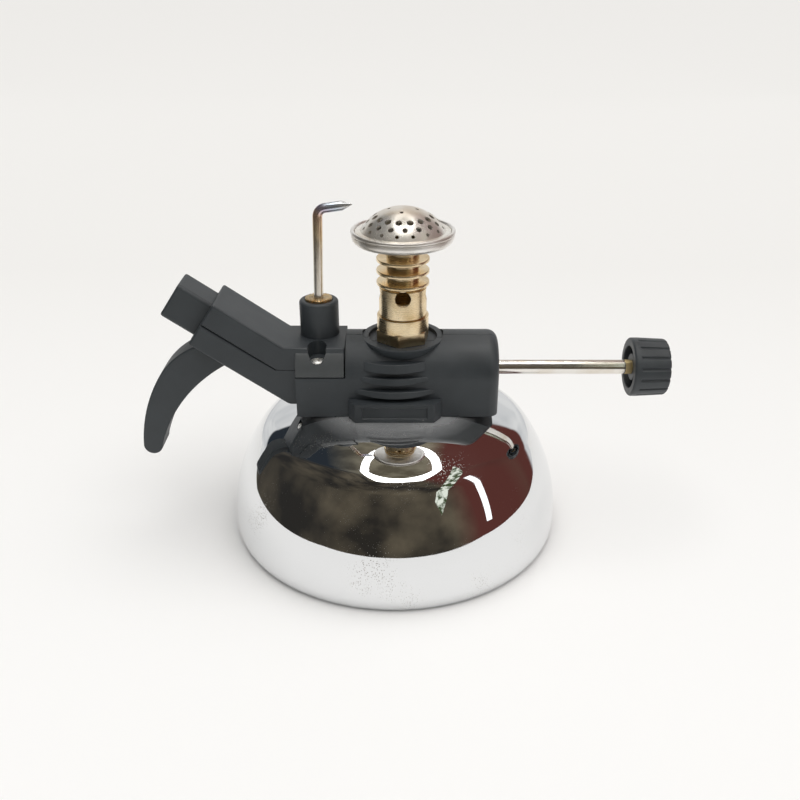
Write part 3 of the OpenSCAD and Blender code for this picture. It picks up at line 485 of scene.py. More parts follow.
# %% [markdown]
# ## The housing's two halves
# The housing is an arched box over the valve, moulded in two halves that meet in a line along the roof.
# Each starts as the half arch's outline, extruded along the housing. The long edges get a small bevel, the
# right end a large one, and only then is it hollowed, because a bevel behaves best on the plain form.

# %% Half arches
AXIS_Z = 40.9
ARCH_R = 8.95
HOUSE_LEFT = -22.65
HOUSE_RIGHT = 24.05
HOUSE_WALL = 1.8
FRONT_SEAM = -1.58
REAR_SEAM = -1.42
BURNER = (1.9, 0)


def half_arch(name, seam, side):
    meet = math.degrees(math.acos(seam / ARCH_R))
    start = 180 if side < 0 else 0
    outline = [(seam, TANK_TOP), (side * ARCH_R, TANK_TOP)] + arc((0, AXIS_Z), ARCH_R, start, meet, 28)
    shell = slab(name, outline, "X", HOUSE_LEFT, HOUSE_RIGHT)

    def end_edge(a, b):
        above_foot = (a.z + b.z) / 2 > TANK_TOP + 0.1
        return min(a.x, b.x) > HOUSE_RIGHT - 0.05 and above_foot and abs((a.y + b.y) / 2 - seam) > 0.05

    bevel_edges(shell, end_edge, 2.4, 8)
    soften(shell, 0.22, 2, 50)
    inner_r = ARCH_R - HOUSE_WALL
    inside = [(-inner_r, 33.7)] + arc((0, AXIS_Z), inner_r, 180, 0, 28) + [(inner_r, 33.7)]
    cut(shell, slab("cavity", inside, "X", HOUSE_LEFT + HOUSE_WALL, HOUSE_RIGHT - HOUSE_WALL))
    cut(shell, slab("notch", [(-12, 41.94), (12, 41.94), (12, 60), (-12, 60)], "X", -30, -11.2))
    cut(shell, round_bar("well", 16, 48.1, 60, BURNER, sides=96))
    cut(shell, round_bar("ring_clearance", 18.84, 49.0, 60, BURNER, sides=96))
    cut(shell, round_bar("well_hole", 10.6, 40, 50, BURNER))
    cut(shell, round_bar("rod_hole", 4.4, 20, 30, (0, AXIS_Z), "X"))
    return shell


front_half = half_arch("front_housing", FRONT_SEAM, -1)
rear_half = half_arch("rear_housing", REAR_SEAM, 1)
print("front half arch with", len(front_half.data.polygons), "faces")

# %% [markdown]
# ## The burner's well
# The burner stands in a round well whose ring stands proud of the arch. The ring is turned, and each half
# keeps its own part of it, cut at the seam.

# %% Well rings
WELL_OUTLINE = rounded([
    (5.3, 45.2), (7.0, 45.2), (9.46, 48.7), (9.46, 49.1, 0.12), (7.95, 49.1, 0.15), (7.95, 48.2, 0.2),
    (5.3, 48.2)
])


def well_part(name, low, high):
    ring = turn(name, WELL_OUTLINE, BURNER, steps=144)
    cut(ring, slab("other_side", [(-20, low), (20, low), (20, high), (-20, high)], "Z", 40, 60))
    return ring


front_ring = well_part("front_ring", FRONT_SEAM, 20)
rear_ring = well_part("rear_ring", -20, REAR_SEAM)
print("front ring part with", len(front_ring.data.polygons), "faces")

# %% [markdown]
# ## Ribs and pad
# Three bowed ribs stand under the well like small shelves, and a pad with a shallow panel sits at the foot.
# A rib is a slice of a large disc, so its outline is one arc, and its upper edge is moved back so that
# the front leans. The pad's panel is made with two insets: one draws the frame, one sinks the face. Each
# row of RIBS gives half width, reach, height, thickness, rise of the ends and lean.

# %% Ribs and pads
def rib(side, half_width, out, low, thick, end_rise, lean):
    bow = out - (0.1 if end_rise else 0.5)
    radius = (half_width ** 2 + bow ** 2) / (2 * bow)
    wall = ARCH_R if low < 41 else math.sqrt(ARCH_R ** 2 - (low + thick / 2 - AXIS_Z) ** 2)
    reach = math.degrees(math.asin(half_width / radius))
    curve = arc((0, radius - wall - out), radius, -90 - reach, -90 + reach, 20)
    outline = [(side * x, -side * y) for x, y in curve]
    root = side * (wall - 1.5)
    outline += [(side * half_width, root), (-side * half_width, root)]
    shelf = slab("rib", outline, "Z", low, low + thick)
    for vertex in shelf.data.vertices:
        if vertex.co.z < (low + 0.1) * MM:
            vertex.co.z += end_rise * MM * (vertex.co.x / (half_width * MM)) ** 2
        elif abs(vertex.co.y) > (wall - 0.5) * MM:
            vertex.co.y -= side * lean * MM
    soften(shelf, 0.18, 3)
    return shelf


def pad(side):
    corners = [(-10.7, 7.5), (-10.7, 9.65), (-9.1, 12.0), (9.1, 12.0), (10.7, 9.65), (10.7, 7.5)]
    foot = slab("pad", [(x, side * y) for x, y in corners], "Z", TANK_TOP, 36.8)
    unselect("FACE")
    for face in foot.data.polygons:
        face.select = face.normal.y * side > 0.99 and abs(face.center.y) > 11.9 * MM
    bpy.ops.object.mode_set(mode="EDIT")
    bpy.ops.mesh.inset(thickness=0.9 * MM)
    bpy.ops.transform.resize(value=(7.5 / 8.2, 1, 1), center_override=(0, side * 12 * MM, 34.5 * MM))
    bpy.ops.mesh.inset(thickness=0.12 * MM, depth=-0.4 * MM)
    bpy.ops.object.mode_set(mode="OBJECT")
    soften(foot, 0.15, 2, 30)
    return foot


RIBS = [
    (9.35, 2.4, 37.8, 1.5, 0.6, 0.55), (7.9, 1.9, 40.9, 1.5, 0.6, 0.5), (7.0, 2.6, 43.8, 1.9, 0.0, 0.85)
]
front_half = join(front_half, front_ring, pad(-1), *[rib(-1, *sizes) for sizes in RIBS])
moulded(front_half, "housing_front")

# %% Rear half with its screw holes
REAR_SCREWS = [(x, 35.9) for x in (20.2, -9.6, -19.6)]
for spot in REAR_SCREWS:
    cut(rear_half, round_bar("screw_hole", 4, 6.95, 12, spot, "Y"))
rear_half = join(rear_half, rear_ring, pad(1), *[rib(1, *sizes) for sizes in RIBS])
moulded(rear_half, "housing_rear")

# %% [markdown]
# ## The handle's upper shell
# The handle slopes up to the left and carries on as a block over the housing. Its side view is extruded
# across, the outer edges are rounded, and the cavity, the button's opening and the screw recess are cut.

# %% Points along the handle
SLOPE = math.radians(34.5)
HANDLE_END = Vector((-43.43, 54.30))
HANDLE_HALF = 5.75
HANDLE_SIDE = 7.15
HANDLE_WALL = 1
JOINT_Z = 43.3
ALONG = Vector((math.cos(SLOPE), -math.sin(SLOPE)))
SQUARE = Vector((math.sin(SLOPE), math.cos(SLOPE)))


def on_handle(x, z):
    return tuple(HANDLE_END + x * ALONG + z * SQUARE)


def at_height(z, height):
    return on_handle((HANDLE_END.y + z * SQUARE.y - height) / -ALONG.y, z)


def tilted(piece):
    return settle(piece, (0, SLOPE, 0), (HANDLE_END.x, 0, HANDLE_END.y))


def button_pocket():
    sides = [(-4.7, -4.75), (4.7, -4.75), (4.7, 4.75), (-4.7, 4.75)]
    return tilted(slab("pocket", sides, "X", -3, 2))


print("the handle's end is at", HANDLE_END, "and its joint meets", at_height(0.05, JOINT_Z))

# %% Upper shell
top_outline = [on_handle(0, HANDLE_HALF), (-25.1, 48.67), (-11.36, 48.67), (-11.36, 42.1)]
top_outline += [(HOUSE_LEFT, 42.1), (HOUSE_LEFT, JOINT_Z), at_height(0.05, JOINT_Z), on_handle(0, 0.05)]
upper_shell = slab("handle_upper_shell", top_outline, "Y", -HANDLE_SIDE, HANDLE_SIDE)


def outer_edge(low_level, high_level):
    def chosen(a, b):
        middle = (a + b) / 2
        place = Vector((middle.x, middle.z)) - HANDLE_END
        level = place.dot(SQUARE)
        at_side = abs(abs(middle.y) - HANDLE_SIDE) < 0.01
        at_end = max(abs((Vector((p.x, p.z)) - HANDLE_END).dot(ALONG)) for p in (a, b)) < 0.01
        outside = level > high_level or level < low_level or middle.z > 48.6 or middle.z < 34.9
        return (at_side and outside) or (at_end and abs(level) > 0.3)
    return chosen


bevel_edges(upper_shell, outer_edge(-20, 5.7), 0.45, 4)
soften(upper_shell, 0.07, 2, 40)
INNER_HALF = HANDLE_HALF - HANDLE_WALL
INNER_SIDE = HANDLE_SIDE - HANDLE_WALL
top_cavity = [on_handle(HANDLE_WALL, INNER_HALF), at_height(INNER_HALF, 47.67), (0, 47.67), (0, 41.1)]
top_cavity += [(HOUSE_LEFT, 41.1), (at_height(0.05, JOINT_Z)[0], 42.3), on_handle(HANDLE_WALL, -0.95)]
cut(upper_shell, slab("cavity", top_cavity, "Y", -INNER_SIDE, INNER_SIDE))
cut(upper_shell, button_pocket())
print("upper shell with", len(upper_shell.data.polygons), "faces")


# %% Side panels and the screw recess
def side_panel(side):
    curve = [(side * y, z) for y, z in arc((0, 42.14), 8.95, -0.26, 37.35, 12)]
    outline = [(side * 6.4, 42.1)] + curve + [(side * 6.4, 47.57)]
    panel = slab("side_panel", outline, "X", HOUSE_LEFT, -11.5)
    soften(panel, 0.3, 3, 50)
    # The panel's paler charcoal is a painted sheen.
    panel.data.materials.append(charcoal_painted_sheen)
    return panel


SCREW_SPOT = (-17.6, -6.3)
SLOT_STRETCH = 1.75


def slot_bar(name, radius, low, high):
    middle = SCREW_SPOT[1]
    back = [(x, middle + (y - middle) * SLOT_STRETCH) for x, y in arc(SCREW_SPOT, radius, 0, 180, 24)]
    return slab(name, back + arc(SCREW_SPOT, radius, 180, 360, 24)[1:-1], "Z", low, high)


front_panel = side_panel(-1)
upper_shell.data.materials.append(charcoal)
recess = slot_bar("recess", 2.9, 43.2, 47.7)
recess.data.materials.append(charcoal)
cut(recess, slab("outside", [(-30, -20), (0, -20), (0, -6.9), (-30, -6.9)], "Z", 40, 50))
for part in (upper_shell, front_panel, recess):
    cut(part, slot_bar("screw_recess", 2.2, 45.3, 60))
    cut(part, round_bar("head_pocket", 3.8, 44.0, 46, SCREW_SPOT))
    cut(part, round_bar("shank_hole", 2.2, 40, 46, SCREW_SPOT))
join(upper_shell, front_panel, side_panel(1), recess)
moulded(upper_shell, "handle_top")

# %% [markdown]
# ## The handle's lower shell
# The lower shell closes the handle from below and ends square against the housing. It is made like the
# upper one, with a screw hole from underneath.

# %% Lower shell
low_corners = [on_handle(0, -0.04), at_height(-0.04, 43.21), (-22.81, 43.21), (-22.81, 34.4)]
low_corners += [(*at_height(-HANDLE_HALF, 34.4), 2.2), on_handle(0, -HANDLE_HALF)]
lower_shell = slab("handle_lower_shell", rounded(low_corners), "Y", -HANDLE_SIDE, HANDLE_SIDE)
bevel_edges(lower_shell, outer_edge(-5.3, 20), 0.6, 4)
soften(lower_shell, 0.07, 2, 40)
low_cavity = [on_handle(HANDLE_WALL, 1.89), at_height(1.89, 44.3), (0, 44.3), (0, 35.4)]
low_cavity += [at_height(-INNER_HALF, 35.4), on_handle(HANDLE_WALL, -INNER_HALF)]
cut(lower_shell, slab("cavity", low_cavity, "Y", -INNER_SIDE, INNER_SIDE))
cut(lower_shell, button_pocket())
HANDLE_SCREW = (-24.65, -3.6)
cut(lower_shell, round_bar("screw_hole", 4, 30, 36.4, HANDLE_SCREW))
seat_outline = [(1.15, 36.4), (2.6, 36.4), (2.6, 37.4), (1.15, 37.4)]
screw_seat = turn("screw_seat", seat_outline, HANDLE_SCREW, steps=48)
join(lower_shell, screw_seat)
moulded(lower_shell, "handle_bottom")

# %% [markdown]
# ## The finger hook
# A slim hook hangs from the handle's end as the counter-grip for the thumb on the button. Its two edges
# are arcs of large circles with different centres, so it tapers. Near the root the outer edge is drawn in,
# and a small round closes the tip. It is extruded across and softened, since a finger rests on it.

# %% Finger hook
HOOK_OUT = (-21.59, 18.8)
HOOK_IN = (-21.39, 10.8)
HOOK_TIP = (-58.90, 21.5)
HOOK_OUT_R = 39.7
HOOK_IN_R = 36.8
HOOK_TIP_R = 2.3
HOOK_SIDE = 3.8
ROOT_DRAW = 2.3
root = Vector(on_handle(1.0, -HANDLE_HALF))
root_angle = math.degrees(math.atan2(root.y - HOOK_OUT[1], root.x - HOOK_OUT[0]))
tip_angle = math.degrees(math.atan2(2.7, HOOK_TIP[0] - HOOK_TIP_R - HOOK_OUT[0]))
in_angle = math.degrees(math.atan2(10.7, HOOK_TIP[0] + HOOK_TIP_R - HOOK_IN[0]))


def below_handle(point):
    return (Vector(point) - HANDLE_END).dot(SQUARE) < -HANDLE_HALF


inner_edge = [p for p in arc(HOOK_IN, HOOK_IN_R, in_angle, 60, 90) if below_handle(p)]
last = Vector(inner_edge[-1])
lift = -HANDLE_HALF - (last - HANDLE_END).dot(SQUARE)
outer_edge_line = []
for i in range(31):
    drawn_in = ROOT_DRAW * max(0, 1 - i / 12) ** 2
    outer_angle = root_angle + (tip_angle - root_angle) * i / 30
    outer_edge_line += arc(HOOK_OUT, HOOK_OUT_R - drawn_in, outer_angle, outer_angle, 1)[:1]
hook_outline = outer_edge_line + arc(HOOK_TIP, HOOK_TIP_R, 180, 360, 12)[1:-1] + inner_edge
hook_outline += [tuple(last + (lift + 0.3) * SQUARE), tuple(Vector(outer_edge_line[0]) + 0.96 * SQUARE)]
hook = slab("carrying_hook", hook_outline, "Y", -HOOK_SIDE, HOOK_SIDE)
soften(hook, 0.8, 4, 60)
moulded(hook, "finger_hook")

# %% [markdown]
# ## The ignition button
# The button is a square stub with round corners that slides into the handle's end, and a flange inside
# keeps it from falling out. It is extruded along X first and then turned on to the handle's slope.

# %% Ignition button
stub_sides = rounded([(-4.4, -4.45, 0.9), (4.4, -4.45, 0.9), (4.4, 4.45, 0.9), (-4.4, 4.45, 0.9)])
button = slab("push_button", stub_sides, "X", -8.6, 2.7)
soften(button, 0.55, 4, 60)
flange = slab("flange", [(-5.85, -4.3), (5.85, -4.3), (5.85, 4.3), (-5.85, 4.3)], "X", 1.2, 2.65)
soften(flange, 0.2, 2)
join(button, flange)
tilted(button)
moulded(button, "ignition_button", body="button")

# %% [markdown]
# ## The electrode's collar and ferrule
# A plastic collar holds the spark rod away from the gas, and a small toothed brass ferrule is pressed into
# its top. Both are turned. On the ferrule's upper edge every other group of points is then moved in and
# down, which leaves the teeth.

# %% Brass finishes
brass = new_finish("turned_brass", (0.80, 0.60, 0.27), 1, 0.2)
tool_marks = noise(brass, 1, 3, (8, 8, 5200))
mottle(brass, 210, 5, (0.90, 0.74, 0.49), (0.66, 0.48, 0.25), reach=(0.42, 0.72))
rough_by(brass, tool_marks, 0.2, 0.34)
relief(brass, tool_marks, 0.02, 0.35)
describe(brass)

# %% Collar and ferrule
ELECTRODE = (-17.6, 2.6)
collar = turn("electrode_holder", rounded([
    (1.06, 44.5), (2.8, 44.5), (2.8, 48.6), (4.55, 48.6), (4.55, 56.97, 0.7), (3.2, 56.97, 0.15),
    (3.2, 55.9), (1.06, 55.9)
]), ELECTRODE, steps=96)
moulded(collar, "electrode_collar")
TEETH = 24
ferrule = turn("toothed_ferrule", rounded([
    (1.2, 55.95), (3.15, 55.95), (3.15, 57.0), (3.15, 57.47, 0.12), (1.2, 57.47, 0.12)
], 2), ELECTRODE, steps=TEETH * 6)
for vertex in ferrule.data.vertices:
    across = vertex.co / MM - Vector((*ELECTRODE, 0))
    turn_share = (math.atan2(across.y, across.x) / math.tau * TEETH) % 1
    if vertex.co.z > 56.9 * MM and math.hypot(across.x, across.y) > 2.5 and abs(turn_share - 0.5) < 0.2:
        vertex.co -= Vector((0.25 * across.x, 0.25 * across.y, 0.4)) * MM
hand_over(ferrule, "electrode_ferrule", brass)

# %% [markdown]
# ## The spark rod
# A nickel-plated rod runs up from the collar, bends over towards the burner and ends in a ground point.
# The flame has tinted it straw, brown and blue. It is drawn like a pipe: a circle is extruded up, spun
# round the bend and extruded on to the point.

# %% Heat-tinted nickel
tinted = new_finish("heat_tinted_nickel", (0.66, 0.63, 0.58), 0.88, 0.2)
nickel_spot = axes(tinted)
cloud = noise(tinted, 330, 3)
along_x = maths(tinted, "ADD", nickel_spot["X"], 0.0176)
heat = maths(tinted, "ADD", nickel_spot["Z"], maths(tinted, "MULTIPLY", along_x, 0.9))
heat = maths(tinted, "ADD", heat, maths(tinted, "MULTIPLY", cloud, 0.004))
ramp = add_node(tinted, "ValToRGB")
link(tinted, spread(tinted, heat, 0.058, 0.088), ramp.inputs["Fac"])
HEAT_COLOURS = [
    (0.0, (0.76, 0.72, 0.66)), (0.40, (0.76, 0.69, 0.58)), (0.58, (0.78, 0.62, 0.40)),
    (0.70, (0.66, 0.45, 0.32)), (0.79, (0.50, 0.44, 0.54)), (0.88, (0.56, 0.62, 0.70)),
    (1.0, (0.78, 0.78, 0.78))
]
for share, colour in HEAT_COLOURS[1:-1]:
    ramp.color_ramp.elements.new(share)
for element, (share, colour) in zip(ramp.color_ramp.elements, HEAT_COLOURS):
    element.position = share
    element.color = (*colour, 1)
feed(tinted, "Base Color", ramp.outputs["Color"])
rough_by(tinted, cloud, 0.16, 0.26)
relief(tinted, cloud, 0.01, 0.1)
print("heat tint runs through", len(ramp.color_ramp.elements), "colours")

# %% Spark rod
LEAN = math.radians(1.5)
ROD_R = 1.1
UP = Vector((math.sin(LEAN), 0, math.cos(LEAN)))
OVER = Vector((math.cos(LEAN), 0, -math.sin(LEAN)))
stem = Vector((*ELECTRODE, 56.97))
UPRIGHT = 19.3
bend_start = stem + UPRIGHT * UP
bend_centre = bend_start + 2 * OVER
BEND = math.radians(80.5)
arm_way = Vector((math.sin(LEAN + BEND), 0, math.cos(LEAN + BEND)))
rod_circle = arc(ELECTRODE, ROD_R, 0, 348.75, 31)
spark_rod = points_to_mesh("spark_rod", [(x, y, 44.47) for x, y in rod_circle], False)
open_up()
pull((0, 0, 12.5))
pull(UPRIGHT * UP)
bpy.ops.mesh.spin(steps=14, angle=-BEND, center=bend_centre * MM, axis=(0, 1, 0))
pull(3.8 * arm_way)
pull(2.3 * arm_way)
tip = bend_centre + 2 * Vector((-math.cos(LEAN + BEND), 0, math.sin(LEAN + BEND))) + 6.1 * arm_way
bpy.ops.transform.resize(value=(0.14, 0.14, 0.14), center_override=tip * MM)
bpy.ops.mesh.edge_face_add()
close_up()
work_on(spark_rod)
bpy.ops.object.mode_set(mode="EDIT")
bpy.ops.mesh.select_all(action="DESELECT")
bpy.ops.mesh.select_non_manifold()
bpy.ops.mesh.edge_face_add()
close_up()
print("the rod's point is at", [round(v, 2) for v in tip])
hand_over(spark_rod, "electrode_rod", tinted)

# %% [markdown]
# ## The burner's brass foot and mixing tube
# A hexagon screws the burner on to the valve, with a plain collar above it. The mixing tube carries four
# air holes and three thin cooling fins. The hexagon is an extruded outline with six corners; everything
# else is turned, and the air holes are drilled with two crossing bars.

# %% Burner foot
dull_brass = new_finish("handled_brass", (0.62, 0.44, 0.18), 1, 0.26)
stain = mottle(dull_brass, 260, 5, (0.86, 0.70, 0.45), (0.60, 0.44, 0.25), reach=(0.4, 0.7))
rough_by(dull_brass, stain, 0.26, 0.42)
relief(dull_brass, stain, 0.02, 0.3)
hex_corner = 11.2 / 2 / math.cos(math.radians(30))
hexagon = slab("burner_foot", arc(BURNER, hex_corner, 21, 321, 5), "Z", 48.22, 51.2)
soften(hexagon, 0.25, 2)
foot_collar = turn("foot_collar", rounded([
    (4.48, 51.0), (5.95, 51.0), (5.95, 54.4, 0.15), (4.48, 54.4, 0.15)
], 2), BURNER, steps=96)
foot_collar.data.materials.append(brass)
hexagon.data.materials.append(dull_brass)
join(hexagon, foot_collar)
hand_over(hexagon, "burner_base", dull_brass)

# %% Mixing tube
FIN_Z = (61.7, 64.4, 67.1)
AIR_Z = 59.6
AIR_HOLE = 3.6
tube_outline = [(3.0, 51.8), (4.45, 51.8), (4.45, 54.4), (5.45, 54.4, 0.2), (5.45, 61.2, 0.25)]
tube_outline += [(4.75, 61.2)]
for fin_z in FIN_Z:
    neck = 4.75 if fin_z == FIN_Z[0] else 3.7
    tube_outline += [(neck, fin_z), (6.0, fin_z, 0.2), (6.0, fin_z + 0.8, 0.2), (3.7, fin_z + 0.8)]
tube_outline += [(3.7, 72.4), (3.0, 72.4), (3.0, 61.5), (4.5, 60.9), (4.5, 55.4), (3.0, 54.8)]
mixing_tube = turn("mixing_tube_with_fins", rounded(tube_outline, 3), BURNER, steps=128)
cut(mixing_tube, round_bar("air_way", AIR_HOLE, -9, 9, (BURNER[0], AIR_Z), "Y", 64))
cut(mixing_tube, round_bar("air_way", AIR_HOLE, -8, 12, (0, AIR_Z), "X", 64))
hand_over(mixing_tube, "mixing_tube", brass)

# %% [markdown]
# ## The steel pan and the cap
# The burner's head is pressed from stainless sheet: a shallow pan with a rolled bead, and a domed cap with
# rings of flame holes. Both are turned. The holes are drilled with small bars that point at the dome's
# centre, joined first so that one cut makes them all.

# %% Stainless finish
stainless = new_finish("satin_stainless", (0.66, 0.65, 0.63), 1, 0.24)
spun = pattern(stainless, "TexWave", place_on(stainless, shift=(-0.0019, 0, 0)),
               {"wave_type": "RINGS", "rings_direction": "Z", "Scale": 420.0, "Distortion": 1.2,
                "Detail": 2.0, "Detail Scale": 3.0}, "Fac")
soot = mottle(stainless, 130, 5, (0.90, 0.88, 0.85), (0.74, 0.70, 0.64), reach=(0.42, 0.72))
feed(stainless, "Roughness", maths(stainless, "ADD", spread(stainless, soot, 0.3, 0.7, 0.28, 0.38),
                                   maths(stainless, "MULTIPLY", spun, 0.06)))
relief(stainless, spun, 0.01, 0.2)
describe(stainless)

# %% Pan
pan_outline = [(3.73, 71.3), (9.9, 71.3)] + arc((9.9, 72.8), 1.55, -90, 0, 12)[1:]
pan_outline += [(11.45, 73.25), (11.25, 73.4)] + arc((11.2, 73.8), 0.45, -50, 210, 16)
pan_outline += [(10.9, 73.4)] + arc((9.9, 72.8), 1.0, 0, -90, 8) + [(3.73, 71.8)]
pan = turn("steel_pan", pan_outline, BURNER, steps=144)
hand_over(pan, "burner_pan", stainless)

# %% Cap finish
heated = new_finish("heated_steel", (0.6, 0.57, 0.53), 0.8, 0.36)
heat_stain = mottle(heated, 110, 4, (0.88, 0.85, 0.79), (0.68, 0.61, 0.52), reach=(0.4, 0.68))
scale_marks = noise(heated, 900, 3)
rough_by(heated, heat_stain, 0.24, 0.34)
relief(heated, scale_marks, 0.01, 0.3)
describe(heated)

# %% Cap with its flame holes
CAP_CENTRE = 67.70
CAP_R = 11.40
rim = math.degrees(math.acos(9.5 / CAP_R))
inner_rim = math.degrees(math.acos(9.0 / (CAP_R - 0.5)))
cap_outline = arc((0, CAP_CENTRE), CAP_R, 90, rim, 24) + [(9.75, 73.98), (10.5, 73.98), (10.68, 73.85)]
cap_outline += [(10.68, 72.65), (10.1, 72.65), (10.1, 73.5), (9.1, 73.5)]
cap_outline += arc((0, CAP_CENTRE), CAP_R - 0.5, inner_rim, 90, 20)
cap = turn("pierced_cap", cap_outline, BURNER, steps=144)
HOLE_ROWS = [(4, 3.1, 0.8, -6), (16, 6.3, 1.5, 14), (16, 7.8, 1.25, 3), (16, 8.85, 0.85, 14)]
drills = []
for count, radius, diameter, phase in HOLE_ROWS:
    for i in range(count):
        drill = round_bar("drill", diameter, 6, 13, (0, 0), sides=20)
        drill.rotation_euler = (0, math.asin(radius / CAP_R), math.radians(360 * i / count + phase))
        drill.location = Vector((*BURNER, CAP_CENTRE)) * MM
        drills.append(drill)
drill_set = join(*drills)
bpy.ops.object.transform_apply(location=True, rotation=True, scale=True)
cut(cap, drill_set)
hand_over(cap, "burner_cap", heated)

# %% [markdown]
# ## The valve rod
# A bright rod reaches out to the right and turns the needle. Its end is milled flat for the knob and shows
# the brass under the plating. The round part is turned along X, and the end is an extruded D shape.

# %% Nickel finish
nickel = new_finish("bright_nickel", (0.72, 0.69, 0.65), 1, 0.12)
drawn = noise(nickel, 1, 3, (40, 3200, 3200))
rubbed = mottle(nickel, 160, 4, (0.82, 0.79, 0.75), (0.68, 0.60, 0.49), reach=(0.4, 0.75))
rough_by(nickel, rubbed, 0.14, 0.26)
relief(nickel, drawn, 0.01, 0.2)
describe(nickel)

milled_brass = new_finish("milled_brass", (0.86, 0.68, 0.36), 1, 0.5)
mill_marks = noise(milled_brass, 1, 2, (2600, 60, 60))
rough_by(milled_brass, mill_marks, 0.42, 0.58)
relief(milled_brass, mill_marks, 0.02, 0.4)

# %% Valve rod
ROD = (0, AXIS_Z)
rod = turn("valve_rod", rounded([
    (0, 9.75), (2.6, 9.75), (2.6, 11.1), (1.7, 11.1), (1.7, 54.5, 0.2), (0, 54.5)
]), ROD, steps=64, along="X")
flat_angle = math.degrees(math.acos(0.9 / 1.7))
flatted = slab("flatted_end", arc(ROD, 1.68, 180 + flat_angle, 540 - flat_angle, 40), "X", 54.3, 61.6)
soften(flatted, 0.12, 2)
rod.data.materials.append(nickel)
flatted.data.materials.append(milled_brass)
tongue_sides = [(-0.55, 39.6), (0.55, 39.6), (0.55, 42.2), (-0.55, 42.2)]
tongue = slab("tongue", tongue_sides, "X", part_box("control_rod")[0].x / MM, 10)
tongue.data.materials.append(nickel)
soften(tongue, 0.1, 2)
join(rod, flatted, tongue)
hand_over(rod, "control_rod", nickel, body="stem")

# %% [markdown]
# ## The knob
# The knob is a short drum with sixteen narrow flutes, a recess in its inner face and a hub on the rod.
# Sixteen bars could cut the flutes, but the turned mesh already has points along every flute, so they are
# simply moved inwards by a round groove's depth.

# %% Knob
knob = turn("fluted_knob", rounded([
    (1.75, 56.0), (3.2, 56.0, 0.2), (3.2, 58.9), (5.0, 58.9), (5.0, 55.4, 0.25), (6.95, 55.4, 0.6),
    (6.945, 56.85), (6.94, 57.1), (6.6, 63.9, 0.7), (1.75, 63.9)
], 6), ROD, steps=320, along="X")
FLUTES = 16
FLUTE_R = 0.34
for vertex in knob.data.vertices:
    x, y, z = vertex.co / MM
    radius = math.hypot(y, z - AXIS_Z)
    if x < 57.0 or radius < 5.5:
        continue
    pitch = math.tau / FLUTES
    turned = (math.atan2(-y, z - AXIS_Z) - math.radians(94)) % pitch
    beside = min(turned, pitch - turned) * radius
    if beside < FLUTE_R:
        depth = math.sqrt(FLUTE_R ** 2 - beside ** 2)
        vertex.co -= Vector((0, y, z - AXIS_Z)).normalized() * depth * MM
moulded(knob, "control_knob", body="stem", smooth=40)

# %% [markdown]
# ## Screws
# Small cross-head screws hold the mouldings: one shows in the block's recess, three sit in the rear wall
# and one comes up from under the handle. A screw is modelled standing up, with a crowned head and a cross
# cut into it, and is then turned into its place.

# %% Screw finish and model
screw_steel = new_finish("zinc_plated_screw", (0.42, 0.42, 0.42), 1, 0.3)
scuff = mottle(screw_steel, 900, 4, (0.80, 0.80, 0.78), (0.93, 0.92, 0.89))
rough_by(screw_steel, scuff, 0.36, 0.5)
relief(screw_steel, scuff, 0.02, 0.3)


def screw(name, shank, tilt, place):
    body = turn(name, rounded([
        (0, -1.3 - shank), (0.9, -1.3 - shank), (0.9, -1.3), (1.8, -1.3, 0.1), (1.8, -0.75, 0.15),
        (1.5, -0.38), (1.0, -0.12), (0.5, -0.02), (0, 0.0)
    ], 3), steps=48)
    for arms in ((1.1, 0.22), (0.22, 1.1)):
        sides = [(arms[0] * i, arms[1] * j) for i, j in ((-1, -1), (1, -1), (1, 1), (-1, 1))]
        cut(body, slab("cross", sides, "Z", -0.7, 1))
    return settle(body, tilt, place)


block_screw = screw("block_fixing_screw", 7, (0, 0, 0.5), (*SCREW_SPOT, 45.65))
hand_over(block_screw, "block_screw", screw_steel)
handle_screw = screw("handle_fixing_screw", 10.2, (math.pi, 0, 0.3), (*HANDLE_SCREW, 35.1))
hand_over(handle_screw, "handle_screw", screw_steel)
rear_screws = [screw("rear_screws", 13.0, (-math.pi / 2, 0, 0), (x, 8.25, z)) for x, z in REAR_SCREWS]
hand_over(join(*rear_screws), "housing_screws", screw_steel)

# %% [markdown]
# ## Springs
# A spring behind the button and one in the refill valve are squeezed when they are pushed. Here each is
# modelled at one length and gets a mesh of its own.

# %% Springs
spring_steel = new_finish("drawn_spring_wire", (0.52, 0.53, 0.54), 1, 0.28)
wire_marks = mottle(spring_steel, 1500, 3, (0.42, 0.43, 0.44), (0.62, 0.62, 0.62))
rough_by(spring_steel, wire_marks, 0.2, 0.36)


def coil(name, radius, wire, low, high, turns):
    section = arc((radius, low + wire / 2), wire / 2, 0, 324, 9)
    spring = points_to_mesh(name, [(r, 0, z) for r, z in section], False)
    rise = (high - low - wire) / turns
    apply_modifier(spring, "SCREW", {
        "axis": "Z", "screw_offset": rise * MM, "iterations": turns, "steps": 24, "render_steps": 24
    })
    open_up()
    bpy.ops.mesh.fill_holes(sides=0)
    close_up()
    return spring


button_spring = coil("button_return_spring", 2.8, 0.6, 2.7, 8.2, 4)
settle(button_spring, (0, math.pi / 2 + SLOPE, 0), (HANDLE_END.x, 0, HANDLE_END.y))
hand_over(button_spring, "piezo_spring", spring_steel)
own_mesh(button_spring)
valve_spring = coil("refill_valve_spring", 2.3, 0.5, 10.05, 14.0, 4)
hand_over(valve_spring, "refill_spring", spring_steel)
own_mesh(valve_spring)

# %% [markdown]
# ## The pieces inside
# The valve, the jet, the refill valve, the wick and the igniter's parts keep their CAD solids, because
# their shapes are right and they are hidden in use. They still get true finishes.

